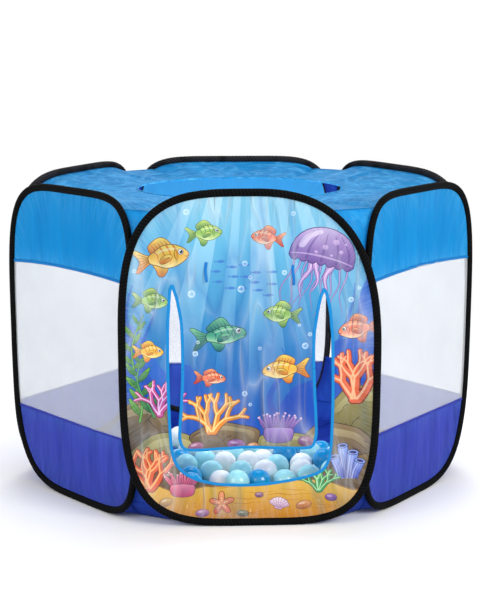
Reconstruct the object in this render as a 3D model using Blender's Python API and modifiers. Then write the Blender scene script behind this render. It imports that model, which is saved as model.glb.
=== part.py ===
# Six-sided pop-up ball pit tent, 1.10 m wide, 0.90 m deep and 0.74 m high.
#
# Six sprung wire loops stand in a ring, each in a folded cloth binding. The front one carries a
# panel with a doorway, and the other five carry an upper band, a mesh window and a lower band.
# Gussets fill the corners between the loops, and a roof and a floor close the ring.
# Metres, +Z up, the door faces -Y, and the origin is under the middle of the floor.

import math

import bmesh
import bpy
import numpy as np
from mathutils import Matrix, Vector

# The ring in plan
overallDepth = 0.900
frontWidth = 0.565          # outside of the front loop's binding
sideCornerX = 0.551
sideCornerY = -0.072
backCornerX = 0.275
tuckBehind = 0.0225         # how far the side loops' edges hide behind the front loop

# Heights
frontHeight = 0.743
sideHeight = 0.728
upperBandDrop = 0.193       # from a side loop's top to the upper band's lower edge, at its ends
upperSeamArch = 0.010       # rise of that edge at mid width
lowerSeamZ = 0.185
roofSeamDrop = 0.033        # from a side loop's top to where an upper gusset meets the roof
floorSeamZ = 0.045          # where a lower gusset meets the floor
roofRimDrop = 0.038         # from a side loop's top to the rim of the roof's opening

# How square each loop's corners are: the exponent of its superellipse, 2 for an ellipse
frontSquareness = {"rightTop": 2.6, "leftTop": 3.5, "leftBottom": 3.7, "rightBottom": 4.5}
sideFrontSquareness = {"nearTop": 6.0, "farTop": 4.3, "farBottom": 3.4, "nearBottom": 6.0}
sideBackSquareness = {"nearTop": 3.6, "farTop": 6.0, "farBottom": 4.5, "nearBottom": 4.5}
backSquareness = {"top": 6.0, "bottom": 4.5}

# Binding, wire and cloth
bindingRadius = 0.008
bindingWall = 0.0028
wireRadius = 0.00175
clothThickness = 0.0012
clothInset = 0.0008         # from the middle of the binding to the cloth's edge
floorThickness = 0.0015
clearance = 0.0003
sheetGap = 0.0003

# Doorway, in the front panel: a straight top, upright sides and a round bottom
doorLeftX = -0.1735
doorRightX = 0.1775
doorTopZ = 0.533
doorBottomZ = 0.092
doorSquareness = 3.3
edgingWidth = 0.0065
edgingThickness = 0.0018

# Door flap, in strips that hinge on each other
flapStrips = 3
flapHemZ = 0.174
flapWaist = 0.022           # how far the flap's sides draw in from the doorway
flapNeckHeight = 0.090      # from the top down to where they have drawn in
flapCornerRadius = 0.022
hingeGap = 0.0009

# Ribbon ties above the flap
tieX = 0.090
tieWidth = 0.006
tieThickness = 0.0008
tieLength = 0.043
tieTopZ = 0.583

# Corners
gussetTipGap = 0.006        # between the gusset's two edges, over the stand-off, at its tip
edgeProbe = 0.004           # height over which an edge's direction is measured

# Roof opening
rimHalfWidth = 0.250
rimHalfDepth = 0.222
rimCentreY = 0.032
hemRadius = 0.003
roofSag = 0.006
roofChord = 0.030           # longest straight piece of the roof's outer edge
roofChordSag = 0.0003       # how far a piece of its inner edge cuts inside the oval

# Floor
floorLean = 40              # degrees below level at which its edge meets a binding
floorTurnUp = 0.040         # from the edge in to where the floor lies flat
edgeStart = 0.009           # height past a gusset at which a sheet's edge takes up the loop's curve

# Balls
ballRadius = 0.0275
ballDrawnRadius = 0.0300    # over the real size, so that touching balls join
ballCoreTop = 0.050
firstLayerCount = 40
secondLayerCount = 23
ballFieldHalfWidth = 0.235
ballFieldHalfDepth = 0.122
ballFieldFrontGap = 0.047   # from the front panel to the nearest ball's middle
ballSeed = 11
ballTries = 6000
settleSteps = 600

# Roundness
loopStations = 36
bindingSteps = 8
cavitySteps = 4
rimStations = 48
ballSegments = 10
ballRings = 7
lowBallSegments = 8         # of the lower layer, mostly hidden
lowBallRings = 6

yFront = -overallDepth / 2 + bindingRadius
yBack = overallDepth / 2 - bindingRadius
standOff = bindingRadius + clearance + clothThickness / 2
floorStandOff = bindingRadius + 2 * clearance + floorThickness
upperSeamZ = sideHeight - upperBandDrop
roofSeamZ = sideHeight - roofSeamDrop
roofRimZ = sideHeight - roofRimDrop


def clearScene():
    for old in list(bpy.data.objects):
        bpy.data.objects.remove(old, do_unlink=True)


def newCollection(name):
    made = bpy.data.collections.new(name)
    bpy.context.scene.collection.children.link(made)
    return made


def newMaterial(name, colour, roughness, metallic=0.0):
    made = bpy.data.materials.new(name)
    made.use_nodes = True
    shader = made.node_tree.nodes["Principled BSDF"]
    shader.inputs["Base Color"].default_value = (*colour, 1.0)
    shader.inputs["Roughness"].default_value = roughness
    shader.inputs["Metallic"].default_value = metallic
    return made


clearScene()
tentParts = newCollection("ball_pit_tent")
guides = newCollection("cutters")

springSteel = newMaterial("spring_steel", (0.55, 0.56, 0.58), 0.35, 1.0)
blackTape = newMaterial("black_tape", (0.012, 0.011, 0.012), 0.75)
skyCloth = newMaterial("sky_cloth", (0.010, 0.250, 0.720), 0.55)
paleRoofCloth = newMaterial("roof_cloth", (0.060, 0.390, 0.820), 0.55)
whiteNet = newMaterial("white_net", (0.760, 0.790, 0.840), 0.70)
deepBlueCloth = newMaterial("deep_blue_cloth", (0.050, 0.045, 0.420), 0.60)
floorCloth = newMaterial("floor_cloth", (0.020, 0.025, 0.280), 0.60)
printedCloth = newMaterial("printed_cloth", (0.240, 0.560, 0.850), 0.50)
blueEdging = newMaterial("blue_edging", (0.015, 0.230, 0.680), 0.60)
ribbonBlue = newMaterial("ribbon_blue", (0.020, 0.200, 0.550), 0.45)
ballBlue = newMaterial("ball_blue", (0.000, 0.320, 0.780), 0.25)


def link(made, material, parent=None):
    made.data.materials.append(material)
    tentParts.objects.link(made)
    made.parent = parent
    return made


def edgeSetback(first, second):
    """Distance along each panel from a corner to its loop, so that the two bindings just clear."""
    angle = first.angle(second)
    return (bindingRadius + clearance / 2) / math.sin(angle / 2)


def ringPlan():
    """The six panels, anticlockwise from the front: name, edge points, height and squareness."""
    frontEdge = frontWidth / 2 - bindingRadius
    tucked = Vector((frontEdge - tuckBehind, yFront + 2 * bindingRadius + clearance))
    side = Vector((sideCornerX, sideCornerY))
    back = Vector((backCornerX, yBack))
    toFront = (tucked - side).normalized()
    toBack = (back - side).normalized()
    across = Vector((-1.0, 0.0))
    sideSetback = edgeSetback(toFront, toBack)
    backSetback = edgeSetback(-toBack, across)
    rightFront = (tucked, side + toFront * sideSetback)
    rightBack = (side + toBack * sideSetback, back - toBack * backSetback)
    backEdges = (back + across * backSetback, Vector((-backCornerX + backSetback, yBack)))
    near = sideFrontSquareness
    far = sideBackSquareness

    def mirrored(edges):
        return tuple(Vector((-point.x, point.y)) for point in reversed(edges))

    return [
        {
            "name": "front",
            "edges": (Vector((-frontEdge, yFront)), Vector((frontEdge, yFront))),
            "height": frontHeight,
            "square": (
                frontSquareness["rightTop"],
                frontSquareness["leftTop"],
                frontSquareness["leftBottom"],
                frontSquareness["rightBottom"],
            ),
        },
        {
            "name": "right_front",
            "edges": rightFront,
            "height": sideHeight,
            "square": (near["farTop"], near["nearTop"], near["nearBottom"], near["farBottom"]),
        },
        {
            "name": "right_back",
            "edges": rightBack,
            "height": sideHeight,
            "square": (far["farTop"], far["nearTop"], far["nearBottom"], far["farBottom"]),
        },
        {
            "name": "back",
            "edges": backEdges,
            "height": sideHeight,
            "square": (
                backSquareness["top"],
                backSquareness["top"],
                backSquareness["bottom"],
                backSquareness["bottom"],
            ),
        },
        {
            "name": "left_back",
            "edges": mirrored(rightBack),
            "height": sideHeight,
            "square": (far["nearTop"], far["farTop"], far["farBottom"], far["nearBottom"]),
        },
        {
            "name": "left_front",
            "edges": mirrored(rightFront),
            "height": sideHeight,
            "square": (near["nearTop"], near["farTop"], near["farBottom"], near["nearBottom"]),
        },
    ]


def placePanel(panel):
    """Adds the panel's own axes: along, outward, middle, half sizes, loop points and an empty."""
    start, end = panel["edges"]
    along = (end - start).normalized()
    panel["along"] = Vector((along.x, along.y, 0.0))
    panel["outward"] = panel["along"].cross(Vector((0, 0, 1)))
    middle = (start + end) / 2
    panel["middle"] = Vector((middle.x, middle.y, panel["height"] / 2))
    panel["halfWidth"] = (end - start).length / 2
    panel["halfHeight"] = panel["height"] / 2 - bindingRadius
    panel["loop"] = loopPoints(panel)
    axes = Matrix.Identity(4)
    axes.col[0].xyz = panel["along"]
    axes.col[1].xyz = Vector((0, 0, 1))
    axes.col[2].xyz = panel["outward"]
    axes.col[3].xyz = panel["middle"]
    empty = bpy.data.objects.new(panel["name"] + "_axes", None)
    empty.matrix_world = axes
    tentParts.objects.link(empty)
    panel["empty"] = empty


def loopPoints(panel):
    """A superellipse, x = a |cos|^(2/n) and y = b |sin|^(2/n), with its own n in each quarter."""
    turn = np.arange(loopStations) * 2 * np.pi / loopStations
    cosine = np.cos(turn)
    sine = np.sin(turn)
    cosine[np.abs(cosine) < 1e-9] = 0.0
    sine[np.abs(sine) < 1e-9] = 0.0
    rightTop, leftTop, leftBottom, rightBottom = panel["square"]
    power = np.where(
        sine >= 0,
        np.where(cosine >= 0, rightTop, leftTop),
        np.where(cosine < 0, leftBottom, rightBottom),
    )
    x = panel["halfWidth"] * np.sign(cosine) * np.abs(cosine) ** (2 / power)
    y = panel["halfHeight"] * np.sign(sine) * np.abs(sine) ** (2 / power)
    return np.stack([x, y], axis=1)


def offsetLoop(points, distance):
    """Moves a closed outline outwards by distance, or inwards if it is negative, mitred."""
    ahead = np.roll(points, -1, axis=0) - points
    behind = points - np.roll(points, 1, axis=0)
    ahead /= np.linalg.norm(ahead, axis=1)[:, None]
    behind /= np.linalg.norm(behind, axis=1)[:, None]
    normalAhead = np.stack([ahead[:, 1], -ahead[:, 0]], axis=1)
    normalBehind = np.stack([behind[:, 1], -behind[:, 0]], axis=1)
    middle = normalAhead + normalBehind
    middle /= np.linalg.norm(middle, axis=1)[:, None]
    stretch = 1 / (middle * normalAhead).sum(axis=1)
    return points + middle * (distance * stretch)[:, None]


def polySpline(data, points, cyclic=True):
    spline = data.splines.new("POLY")
    spline.points.add(len(points) - 1)
    for place, point in zip(spline.points, points):
        depth = point[2] if len(point) > 2 else 0.0
        place.co = (point[0], point[1], depth, 1.0)
    spline.use_cyclic_u = cyclic
    return spline


def newCurve(name, dimensions):
    data = bpy.data.curves.new(name, "CURVE")
    data.dimensions = dimensions
    return data


def flatSheet(name, outlines, thickness, material, parent, lift=0.0):
    """A flat cloth: outlines in the panel's own x and y, extruded to its thickness."""
    data = newCurve(name, "2D")
    data.fill_mode = "BOTH"
    data.extrude = thickness / 2
    for outline in outlines:
        polySpline(data, outline)
    made = link(bpy.data.objects.new(name, data), material, parent)
    made.location = (0, 0, lift)
    return made


def bindingProfile():
    """The folded tape's section: a round wall, open at the side where the cloth goes in."""
    mouth = clothThickness / 2 + sheetGap
    inner = bindingRadius - bindingWall
    outerStart = math.asin(mouth / bindingRadius)
    innerStart = math.asin(mouth / inner)
    outerTurn = np.linspace(outerStart, 2 * np.pi - outerStart, bindingSteps + 1)
    innerTurn = np.linspace(2 * np.pi - innerStart, innerStart, cavitySteps + 1)
    outer = np.stack([np.cos(outerTurn), np.sin(outerTurn)], axis=1) * bindingRadius
    cavity = np.stack([np.cos(innerTurn), np.sin(innerTurn)], axis=1) * inner
    data = newCurve("binding_profile", "2D")
    polySpline(data, np.concatenate([outer, cavity])[::-1])
    made = bpy.data.objects.new("binding_profile", data)
    made.hide_render = True
    made.display_type = "WIRE"
    guides.objects.link(made)
    return made


def addLoop(panel, profile):
    """The sprung wire and, round it, the binding."""
    data = newCurve(panel["name"] + "_binding", "2D")
    data.fill_mode = "NONE"
    data.bevel_mode = "OBJECT"
    data.bevel_object = profile
    polySpline(data, panel["loop"])
    link(bpy.data.objects.new(panel["name"] + "_binding", data), blackTape, panel["empty"])

    inner = bindingRadius - bindingWall
    wireOut = inner - wireRadius - clearance * 1.4
    data = newCurve(panel["name"] + "_wire_loop", "3D")
    data.bevel_depth = wireRadius
    data.bevel_resolution = 0
    polySpline(data, offsetLoop(panel["loop"], wireOut))
    link(bpy.data.objects.new(panel["name"] + "_wire_loop", data), springSteel, panel["empty"])


def between(points, low, high):
    """The part of a closed convex outline whose y lies between low(x) and high(x)."""
    kept = points
    for side, limit in ((1, low), (-1, high)):
        if limit is None:
            continue
        clipped = []
        for here, there in zip(kept, np.roll(kept, -1, axis=0)):
            a = side * (here[1] - limit(here[0]))
            b = side * (there[1] - limit(there[0]))
            if a >= 0:
                clipped.append(here)
            if a * b < 0:
                clipped.append(here + (there - here) * (a / (a - b)))
        kept = np.array(clipped)
    return kept


def seamCurve(panel, z, arch):
    """A seam's height above the panel's middle: level at the ends, raised by arch at mid width."""
    half = panel["halfWidth"]
    return lambda x: z - panel["height"] / 2 + arch * (1 - (x / half) ** 2)


def addSidePanel(panel):
    """Upper band, mesh window and lower band, butted at two seams."""
    outline = offsetLoop(panel["loop"], -clothInset)
    upperSeam = seamCurve(panel, upperSeamZ, upperSeamArch)
    lowerSeam = seamCurve(panel, lowerSeamZ, 0.0)
    pieces = (
        ("upper_band", skyCloth, lambda x: upperSeam(x) + sheetGap / 2, None),
        ("mesh_window", whiteNet, lambda x: lowerSeam(x) + sheetGap / 2,
         lambda x: upperSeam(x) - sheetGap / 2),
        ("lower_band", deepBlueCloth, None, lambda x: lowerSeam(x) - sheetGap / 2),
    )
    for suffix, material, low, high in pieces:
        shape = between(outline, low, high)
        shape = curvedSeam(shape, panel, low, high)
        name = panel["name"] + "_" + suffix
        flatSheet(name, [shape], clothThickness, material, panel["empty"])


def curvedSeam(shape, panel, low, high):
    """Puts points on the seams of a clipped outline: its long level edges follow the seam."""
    made = []
    count = len(shape)
    for index in range(count):
        here = shape[index]
        there = shape[(index + 1) % count]
        made.append(here)
        if abs(there[0] - here[0]) < panel["halfWidth"]:
            continue
        limit = low if here[1] < 0 and there[1] < 0 and low is not None else high
        if low is not None and abs(here[1] - low(here[0])) < 1e-5:
            limit = low
        if limit is None or abs(here[1] - limit(here[0])) > 1e-5:
            continue
        for share in np.linspace(0, 1, 9)[1:-1]:
            x = here[0] + (there[0] - here[0]) * share
            made.append(np.array([x, limit(x)]))
    return np.array(made)


def doorwayPath(inset):
    """The doorway's open outline from its top left round the bottom to its top right.

    The sides are upright and the lower part is half a superellipse. inset moves it inwards.
    """
    centreX = (doorLeftX + doorRightX) / 2
    halfWidth = (doorRightX - doorLeftX) / 2 - inset
    bottom = doorBottomZ + inset
    shoulder = bottom + 0.62 * halfWidth
    turn = np.linspace(np.pi, 2 * np.pi, 17)
    cosine = np.cos(turn)
    sine = np.sin(turn)
    sine[np.abs(sine) < 1e-9] = 0.0
    cosine[np.abs(cosine) < 1e-9] = 0.0
    x = centreX + halfWidth * np.sign(cosine) * np.abs(cosine) ** (2 / doorSquareness)
    z = shoulder - (shoulder - bottom) * np.abs(sine) ** (2 / doorSquareness)
    top = doorTopZ
    path = [(x[0], top)]
    path += list(zip(x, z))
    path += [(x[-1], top)]
    return np.array(path)


def toPanel(points, panel):
    """World x and z on the front panel to its own x and y."""
    shifted = np.array(points, dtype=float)
    shifted[:, 0] -= panel["middle"].x
    shifted[:, 1] -= panel["middle"].z
    return shifted


def addFrontPanel(panel):
    """The printed panel with its doorway, and the edging round the doorway."""
    outline = offsetLoop(panel["loop"], -clothInset)
    hole = doorwayPath(-sheetGap)
    hole[0, 1] += hingeGap / 2
    hole[-1, 1] += hingeGap / 2
    data = [outline, toPanel(hole, panel)[::-1]]
    flatSheet("front_panel", data, clothThickness, printedCloth, panel["empty"])
    outer = doorwayPath(0.0)
    inner = doorwayPath(edgingWidth)
    outer[0, 1] -= sheetGap
    outer[-1, 1] -= sheetGap
    inner[0, 1] -= sheetGap
    inner[-1, 1] -= sheetGap
    edging = np.concatenate([outer, inner[::-1]])
    flatSheet("door_edging", [toPanel(edging, panel)], edgingThickness, blueEdging, panel["empty"])


def flapHalfWidth(z, side):
    """Half width of the flap at a height: full at the top, drawn in below the neck."""
    full = (doorRightX - doorLeftX) / 2 - edgingWidth - 2 * clearance
    share = min(1.0, max(0.0, (doorTopZ - z) / flapNeckHeight))
    eased = math.sin(share * math.pi / 2)
    drawn = flapWaist * eased * (1.35 if side > 0 else 0.75)
    return full - drawn


def flapCentreX():
    return (doorLeftX + doorRightX) / 2


def flapOutline(top, bottom, inset, last):
    """One strip of the flap between two heights: its left edge down, then its right edge up."""
    heights = np.linspace(top, bottom, 7)
    left = [(flapCentreX() - flapHalfWidth(z, -1) + inset, z) for z in heights]
    right = [(flapCentreX() + flapHalfWidth(z, 1) - inset, z) for z in heights]
    if not last:
        return np.array(left + right[::-1])
    radius = flapCornerRadius - inset
    hem = bottom + inset
    leftX = left[-1][0]
    rightX = right[-1][0]
    turn = np.linspace(0, np.pi / 2, 6)
    leftCorner = [
        (leftX + radius * (1 - math.cos(t)), hem + radius * (1 - math.sin(t))) for t in turn
    ]
    rightCorner = [
        (rightX - radius * (1 - math.sin(t)), hem + radius * (1 - math.cos(t))) for t in turn
    ]
    left = [point for point in left if point[1] > hem + radius + 0.004]
    right = [point for point in right if point[1] > hem + radius + 0.004]
    return np.array(left + leftCorner + rightCorner + right[::-1])


def addFlap(panel):
    """The flap's strips, each a cloth with edging on its open sides, hinged on the one above."""
    hingeHeights = np.linspace(doorTopZ, flapHemZ, flapStrips + 1)
    names = ("upper", "middle", "lower")
    for index in range(flapStrips):
        top = hingeHeights[index] - hingeGap / 2
        last = index == flapStrips - 1
        bottom = hingeHeights[index + 1] + (0 if last else hingeGap / 2)
        hinge = bpy.data.objects.new("flap_" + names[index] + "_hinge", None)
        hinge.matrix_world = Matrix.Translation((0, yFront, hingeHeights[index]))
        hinge.matrix_world @= Matrix.Rotation(math.pi / 2, 4, "X")
        tentParts.objects.link(hinge)

        def local(points):
            moved = np.array(points, dtype=float)
            moved[:, 1] -= hingeHeights[index]
            return moved

        cloth = flapOutline(top, bottom, edgingWidth + sheetGap, last)
        flatSheet("door_flap_" + names[index], [local(cloth)], clothThickness, printedCloth, hinge)
        outer = flapOutline(top, bottom, 0.0, last)
        inner = flapOutline(top, bottom, edgingWidth, last)
        strips = {"": np.concatenate([outer, inner[::-1]])}
        if not last:
            half = len(outer) // 2
            strips = {
                "_left": np.concatenate([outer[:half], inner[:half][::-1]]),
                "_right": np.concatenate([outer[half:], inner[half:][::-1]]),
            }
        for side, strip in strips.items():
            name = "flap_edging_" + names[index] + side
            flatSheet(name, [local(strip)], edgingThickness, blueEdging, hinge)


def addTies(panel):
    """Ribbon ties that hold the rolled flap: one outside and one inside on each side."""
    for side, x in (("left", -tieX), ("right", tieX)):
        outline = np.array([
            (x - tieWidth / 2, tieTopZ - tieLength),
            (x + tieWidth / 2, tieTopZ - tieLength),
            (x + tieWidth / 2, tieTopZ),
            (x - tieWidth / 2, tieTopZ),
        ])
        for face, sign in (("outer", 1), ("inner", -1)):
            lift = sign * (clothThickness / 2 + sheetGap + tieThickness / 2)
            name = side + "_" + face + "_tie"
            flatSheet(name, [toPanel(outline, panel)], tieThickness, ribbonBlue,
                      panel["empty"], lift)


def worldPoint(panel, x, y):
    return panel["middle"] + panel["along"] * x + Vector((0, 0, y))


def edgeAt(panel, side, z):
    """Where the loop's right (1) or left (-1) edge is at height z, and its direction there."""
    loop = panel["loop"]
    half = loop[loop[:, 0] * side > -1e-9]
    order = np.argsort(half[:, 1])
    heights = half[order, 1]
    places = half[order, 0]
    y = z - panel["middle"].z
    x = float(np.interp(y, heights, places))
    below = float(np.interp(y - edgeProbe, heights, places))
    above = float(np.interp(y + edgeProbe, heights, places))
    direction = panel["along"] * (above - below) + Vector((0, 0, 2 * edgeProbe))
    return worldPoint(panel, x, y), direction.normalized()


def gussetEnds(first, second, z):
    """The two edges of a gusset at a height, on the line that touches both bindings inside."""
    here, hereWay = edgeAt(first, 1, z)
    there, thereWay = edgeAt(second, -1, z)
    across = there - here
    inward = Vector((-across.y, across.x, 0)).normalized()
    if inward.dot(Vector((here.x, here.y, 0))) > 0:
        inward.negate()
    ends = []
    for point, way in ((here, hereWay), (there, thereWay)):
        sink = math.sqrt(1 - inward.dot(way) ** 2)
        ends.append(point + inward * (standOff / sink))
    return ends[0], ends[1], across.length


def meshObject(name, vertices, faces, material, thickness=None, smooth=True):
    data = bpy.data.meshes.new(name)
    data.from_pydata([tuple(v) for v in vertices], [], faces)
    data.validate()
    work = bmesh.new()
    work.from_mesh(data)
    bmesh.ops.recalc_face_normals(work, faces=work.faces)
    work.to_mesh(data)
    work.free()
    made = link(bpy.data.objects.new(name, data), material)
    if thickness:
        solid = made.modifiers.new("Solidify", "SOLIDIFY")
        solid.thickness = thickness
        solid.offset = 0.0
    if smooth:
        data.shade_smooth()
        data.set_sharp_from_angle(angle=math.radians(40))
    return made


def addGusset(first, second, upper):
    """A curved triangle of cloth between two loops, from the seam to where they draw together."""
    seam = floorSeamZ + floorThickness / 2 + sheetGap
    if upper:
        seam = roofSeamZ - clothThickness / 2 - sheetGap
    middle = sideHeight / 2
    narrow = 2 * standOff + gussetTipGap
    levels = np.linspace(seam, middle, 60)
    tip = seam
    for z in levels:
        if gussetEnds(first, second, z)[2] <= narrow:
            break
        tip = z
    rows = 7
    columns = 3
    vertices = []
    for row in range(rows):
        z = seam + (tip - seam) * row / (rows - 1)
        left, right, _ = gussetEnds(first, second, z)
        for column in range(columns):
            vertices.append(left.lerp(right, column / (columns - 1)))
    faces = []
    for row in range(rows - 1):
        for column in range(columns - 1):
            a = row * columns + column
            faces.append((a, a + 1, a + columns + 1, a + columns))
    corner = cornerName(first, second)
    name = corner + ("_upper_gusset" if upper else "_lower_gusset")
    meshObject(name, vertices, faces, skyCloth if upper else deepBlueCloth, clothThickness)


def cornerName(first, second):
    """The corner between two panels, named as seen from the front."""
    names = {
        ("front", "right_front"): "front_right",
        ("right_front", "right_back"): "right",
        ("right_back", "back"): "back_right",
        ("back", "left_back"): "back_left",
        ("left_back", "left_front"): "left",
        ("left_front", "front"): "front_left",
    }
    return names[(first["name"], second["name"])]


def ringEdge(panels, seamZ, upper):
    """The roof's or floor's outer edge: along each loop's inner side, straight at the corners."""
    edge = []
    lean = math.radians(0 if upper else floorLean)
    reach = standOff if upper else floorStandOff
    for index, panel in enumerate(panels):
        before = panels[index - 1]
        after = panels[(index + 1) % len(panels)]
        level = seamZ - panel["middle"].z
        push = -panel["outward"] * math.cos(lean) - Vector((0, 0, math.sin(lean)))
        loop = panel["loop"]
        ways = np.roll(loop, -1, axis=0) - np.roll(loop, 1, axis=0)
        sign = 1 if upper else -1
        past = [sign * (y - level) > edgeStart for y in loop[:, 1]]
        stations = [(x, y, way) for (x, y), way, kept in zip(loop, ways, past) if kept]
        stations.sort(key=lambda station: station[0])
        edge.append(gussetEnds(before, panel, seamZ)[1])
        for x, y, way in stations:
            direction = (panel["along"] * way[0] + Vector((0, 0, way[1]))).normalized()
            sink = math.sqrt(1 - push.dot(direction) ** 2)
            edge.append(worldPoint(panel, x, y) + push * (reach / sink))
        edge.append(gussetEnds(panel, after, seamZ)[0])
    return edge


def splitLong(edge):
    """Adds points along the long chords of a closed edge, so that what follows it can curve."""
    made = []
    for here, there in zip(edge, edge[1:] + edge[:1]):
        steps = math.ceil((there - here).length / roofChord)
        for step in range(steps):
            made.append(here.lerp(there, step / steps))
    return made


def addRoof(panels):
    """The roof: a sheet from the loops' tops to the rim of its round opening, hung a little."""
    edge = splitLong(ringEdge(panels, roofSeamZ, True))
    centre = Vector((0, rimCentreY, 0))
    rows = 4
    vertices = []
    for row in range(rows):
        share = row / (rows - 1)
        for point in edge:
            turn = math.atan2((point.y - centre.y) / rimHalfDepth, point.x / rimHalfWidth)
            reach = hemRadius + sheetGap + roofChordSag
            rim = Vector((
                (rimHalfWidth + reach) * math.cos(turn),
                centre.y + (rimHalfDepth + reach) * math.sin(turn),
                roofRimZ,
            ))
            place = point.lerp(rim, share)
            place.z -= roofSag * math.sin(share * math.pi)
            vertices.append(place)
    count = len(edge)
    faces = []
    for row in range(rows - 1):
        for index in range(count):
            after = (index + 1) % count
            a = row * count
            b = a + count
            faces.append((a + index, a + after, b + after, b + index))
    meshObject("roof", vertices, faces, paleRoofCloth, clothThickness)

    data = newCurve("roof_hem", "3D")
    data.bevel_depth = hemRadius
    data.bevel_resolution = 1
    turns = np.arange(rimStations) * 2 * np.pi / rimStations
    inner = [
        (rimHalfWidth * math.cos(t), centre.y + rimHalfDepth * math.sin(t), roofRimZ)
        for t in turns
    ]
    polySpline(data, inner)
    link(bpy.data.objects.new("roof_hem", data), paleRoofCloth)


def addFloor(panels):
    """The floor: flat on the ground, its edge turned up to the loops and the lower gussets."""
    edge = ringEdge(panels, floorSeamZ, False)
    lower = []
    for point in edge:
        lower.append(point - Vector((0, 0, floorThickness / 2)))
    flat = []
    for point in edge:
        inward = Vector((-point.x, -point.y, 0)).normalized()
        place = point + inward * floorTurnUp
        flat.append(Vector((place.x, place.y, 0)))
    count = len(edge)
    vertices = lower + flat
    faces = []
    for index in range(count):
        after = (index + 1) % count
        faces.append((index, after, count + after, count + index))
    faces.append(tuple(range(count, 2 * count)))
    data = bpy.data.meshes.new("floor")
    data.from_pydata([tuple(v) for v in vertices], [], faces)
    work = bmesh.new()
    work.from_mesh(data)
    bmesh.ops.recalc_face_normals(work, faces=work.faces)
    work.normal_update()
    if work.faces[-1].normal.z > 0:
        bmesh.ops.reverse_faces(work, faces=work.faces)
    raised = bmesh.ops.extrude_face_region(work, geom=work.faces[:], use_keep_orig=True)
    top = [item for item in raised["geom"] if isinstance(item, bmesh.types.BMVert)]
    bmesh.ops.translate(work, verts=top, vec=(0, 0, floorThickness))
    bmesh.ops.recalc_face_normals(work, faces=work.faces)
    work.to_mesh(data)
    work.free()
    link(bpy.data.objects.new("floor", data), floorCloth)


def firstLayer(rng):
    """Discs pushed apart inside the oval field until they all but clear each other."""
    apart = 2 * ballRadius + clearance
    field = np.array([ballFieldHalfWidth, ballFieldHalfDepth])
    tries = rng.uniform(-1, 1, size=(4 * firstLayerCount, 2))
    discs = tries[(tries ** 2).sum(axis=1) < 1][:firstLayerCount] * field
    for _ in range(settleSteps):
        way = discs[:, None] - discs[None]
        distance = np.linalg.norm(way, axis=2)
        np.fill_diagonal(distance, 1.0)
        push = np.clip(apart - distance, 0, None) / 2
        discs = discs + (way * (push / distance)[..., None]).sum(axis=1)
        outside = np.linalg.norm(discs / field, axis=1)
        discs = discs / np.maximum(outside, 1)[:, None]
    return discs


def ballPlaces():
    """A close layer of balls, then more laid one by one, each at the lowest free place."""
    rng = np.random.default_rng(ballSeed)
    centre = np.array([0, yFront + ballFieldFrontGap + ballFieldHalfDepth])
    floorTop = floorThickness + clearance + ballDrawnRadius
    placed = [np.append(disc + centre, floorTop) for disc in firstLayer(rng)]
    tries = rng.uniform(-1, 1, size=(ballTries, 2))
    tries = tries[(tries ** 2).sum(axis=1) < 1]
    spots = tries * (ballFieldHalfWidth, ballFieldHalfDepth) + centre
    height = np.full(len(spots), floorTop)
    for ball in placed:
        height = np.maximum(height, restingHeight(ball, spots))
    for _ in range(secondLayerCount):
        index = int(np.argmin(height))
        placed.append(np.append(spots[index], height[index]))
        height = np.maximum(height, restingHeight(placed[-1], spots))
    return placed


def restingHeight(ball, spots):
    """How high a ball that touches this one would lie at each spot, and 0 where it can't."""
    apart = 2 * ballRadius + clearance
    distance = np.linalg.norm(spots - ball[:2], axis=1)
    near = distance < apart
    rest = np.zeros(len(spots))
    rest[near] = ball[2] + np.sqrt(apart ** 2 - distance[near] ** 2)
    return rest


def addBallBed():
    """The loose balls as one heap: faceted balls that just run together, and a core between them.

    The balls are drawn a little over their size, so that each one meets the ball it rests on.
    """
    balls = bmesh.new()
    for index, place in enumerate(ballPlaces()):
        low = index < firstLayerCount
        bmesh.ops.create_uvsphere(
            balls,
            u_segments=lowBallSegments if low else ballSegments,
            v_segments=lowBallRings if low else ballRings,
            radius=ballDrawnRadius,
            matrix=Matrix.Translation(place),
        )
    data = bpy.data.meshes.new("ball_heap")
    balls.to_mesh(data)
    balls.free()
    heap = bpy.data.objects.new("ball_heap", data)
    guides.objects.link(heap)

    bottom = floorThickness + clearance
    core = bmesh.new()
    bmesh.ops.create_cone(
        core, cap_ends=True, segments=24, radius1=1.0, radius2=1.0, depth=ballCoreTop - bottom
    )
    bmesh.ops.scale(core, vec=(ballFieldHalfWidth, ballFieldHalfDepth, 1.0), verts=core.verts)
    centreY = yFront + ballFieldFrontGap + ballFieldHalfDepth
    bmesh.ops.translate(core, vec=(0, centreY, (ballCoreTop + bottom) / 2), verts=core.verts)
    coreData = bpy.data.meshes.new("ball_core")
    core.to_mesh(coreData)
    core.free()
    coreObject = bpy.data.objects.new("ball_core", coreData)
    coreObject.hide_render = True
    coreObject.display_type = "WIRE"
    guides.objects.link(coreObject)

    joined = heap.modifiers.new("Union", "BOOLEAN")
    joined.operation = "UNION"
    joined.object = coreObject
    joined.use_self = True
    bpy.context.view_layer.update()
    whole = bpy.data.meshes.new_from_object(heap.evaluated_get(bpy.context.evaluated_depsgraph_get()))
    bpy.data.objects.remove(heap)
    keepLargestBody(whole)
    whole.materials.clear()
    whole.name = "ball_bed"
    link(bpy.data.objects.new("ball_bed", whole), ballBlue)


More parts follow.
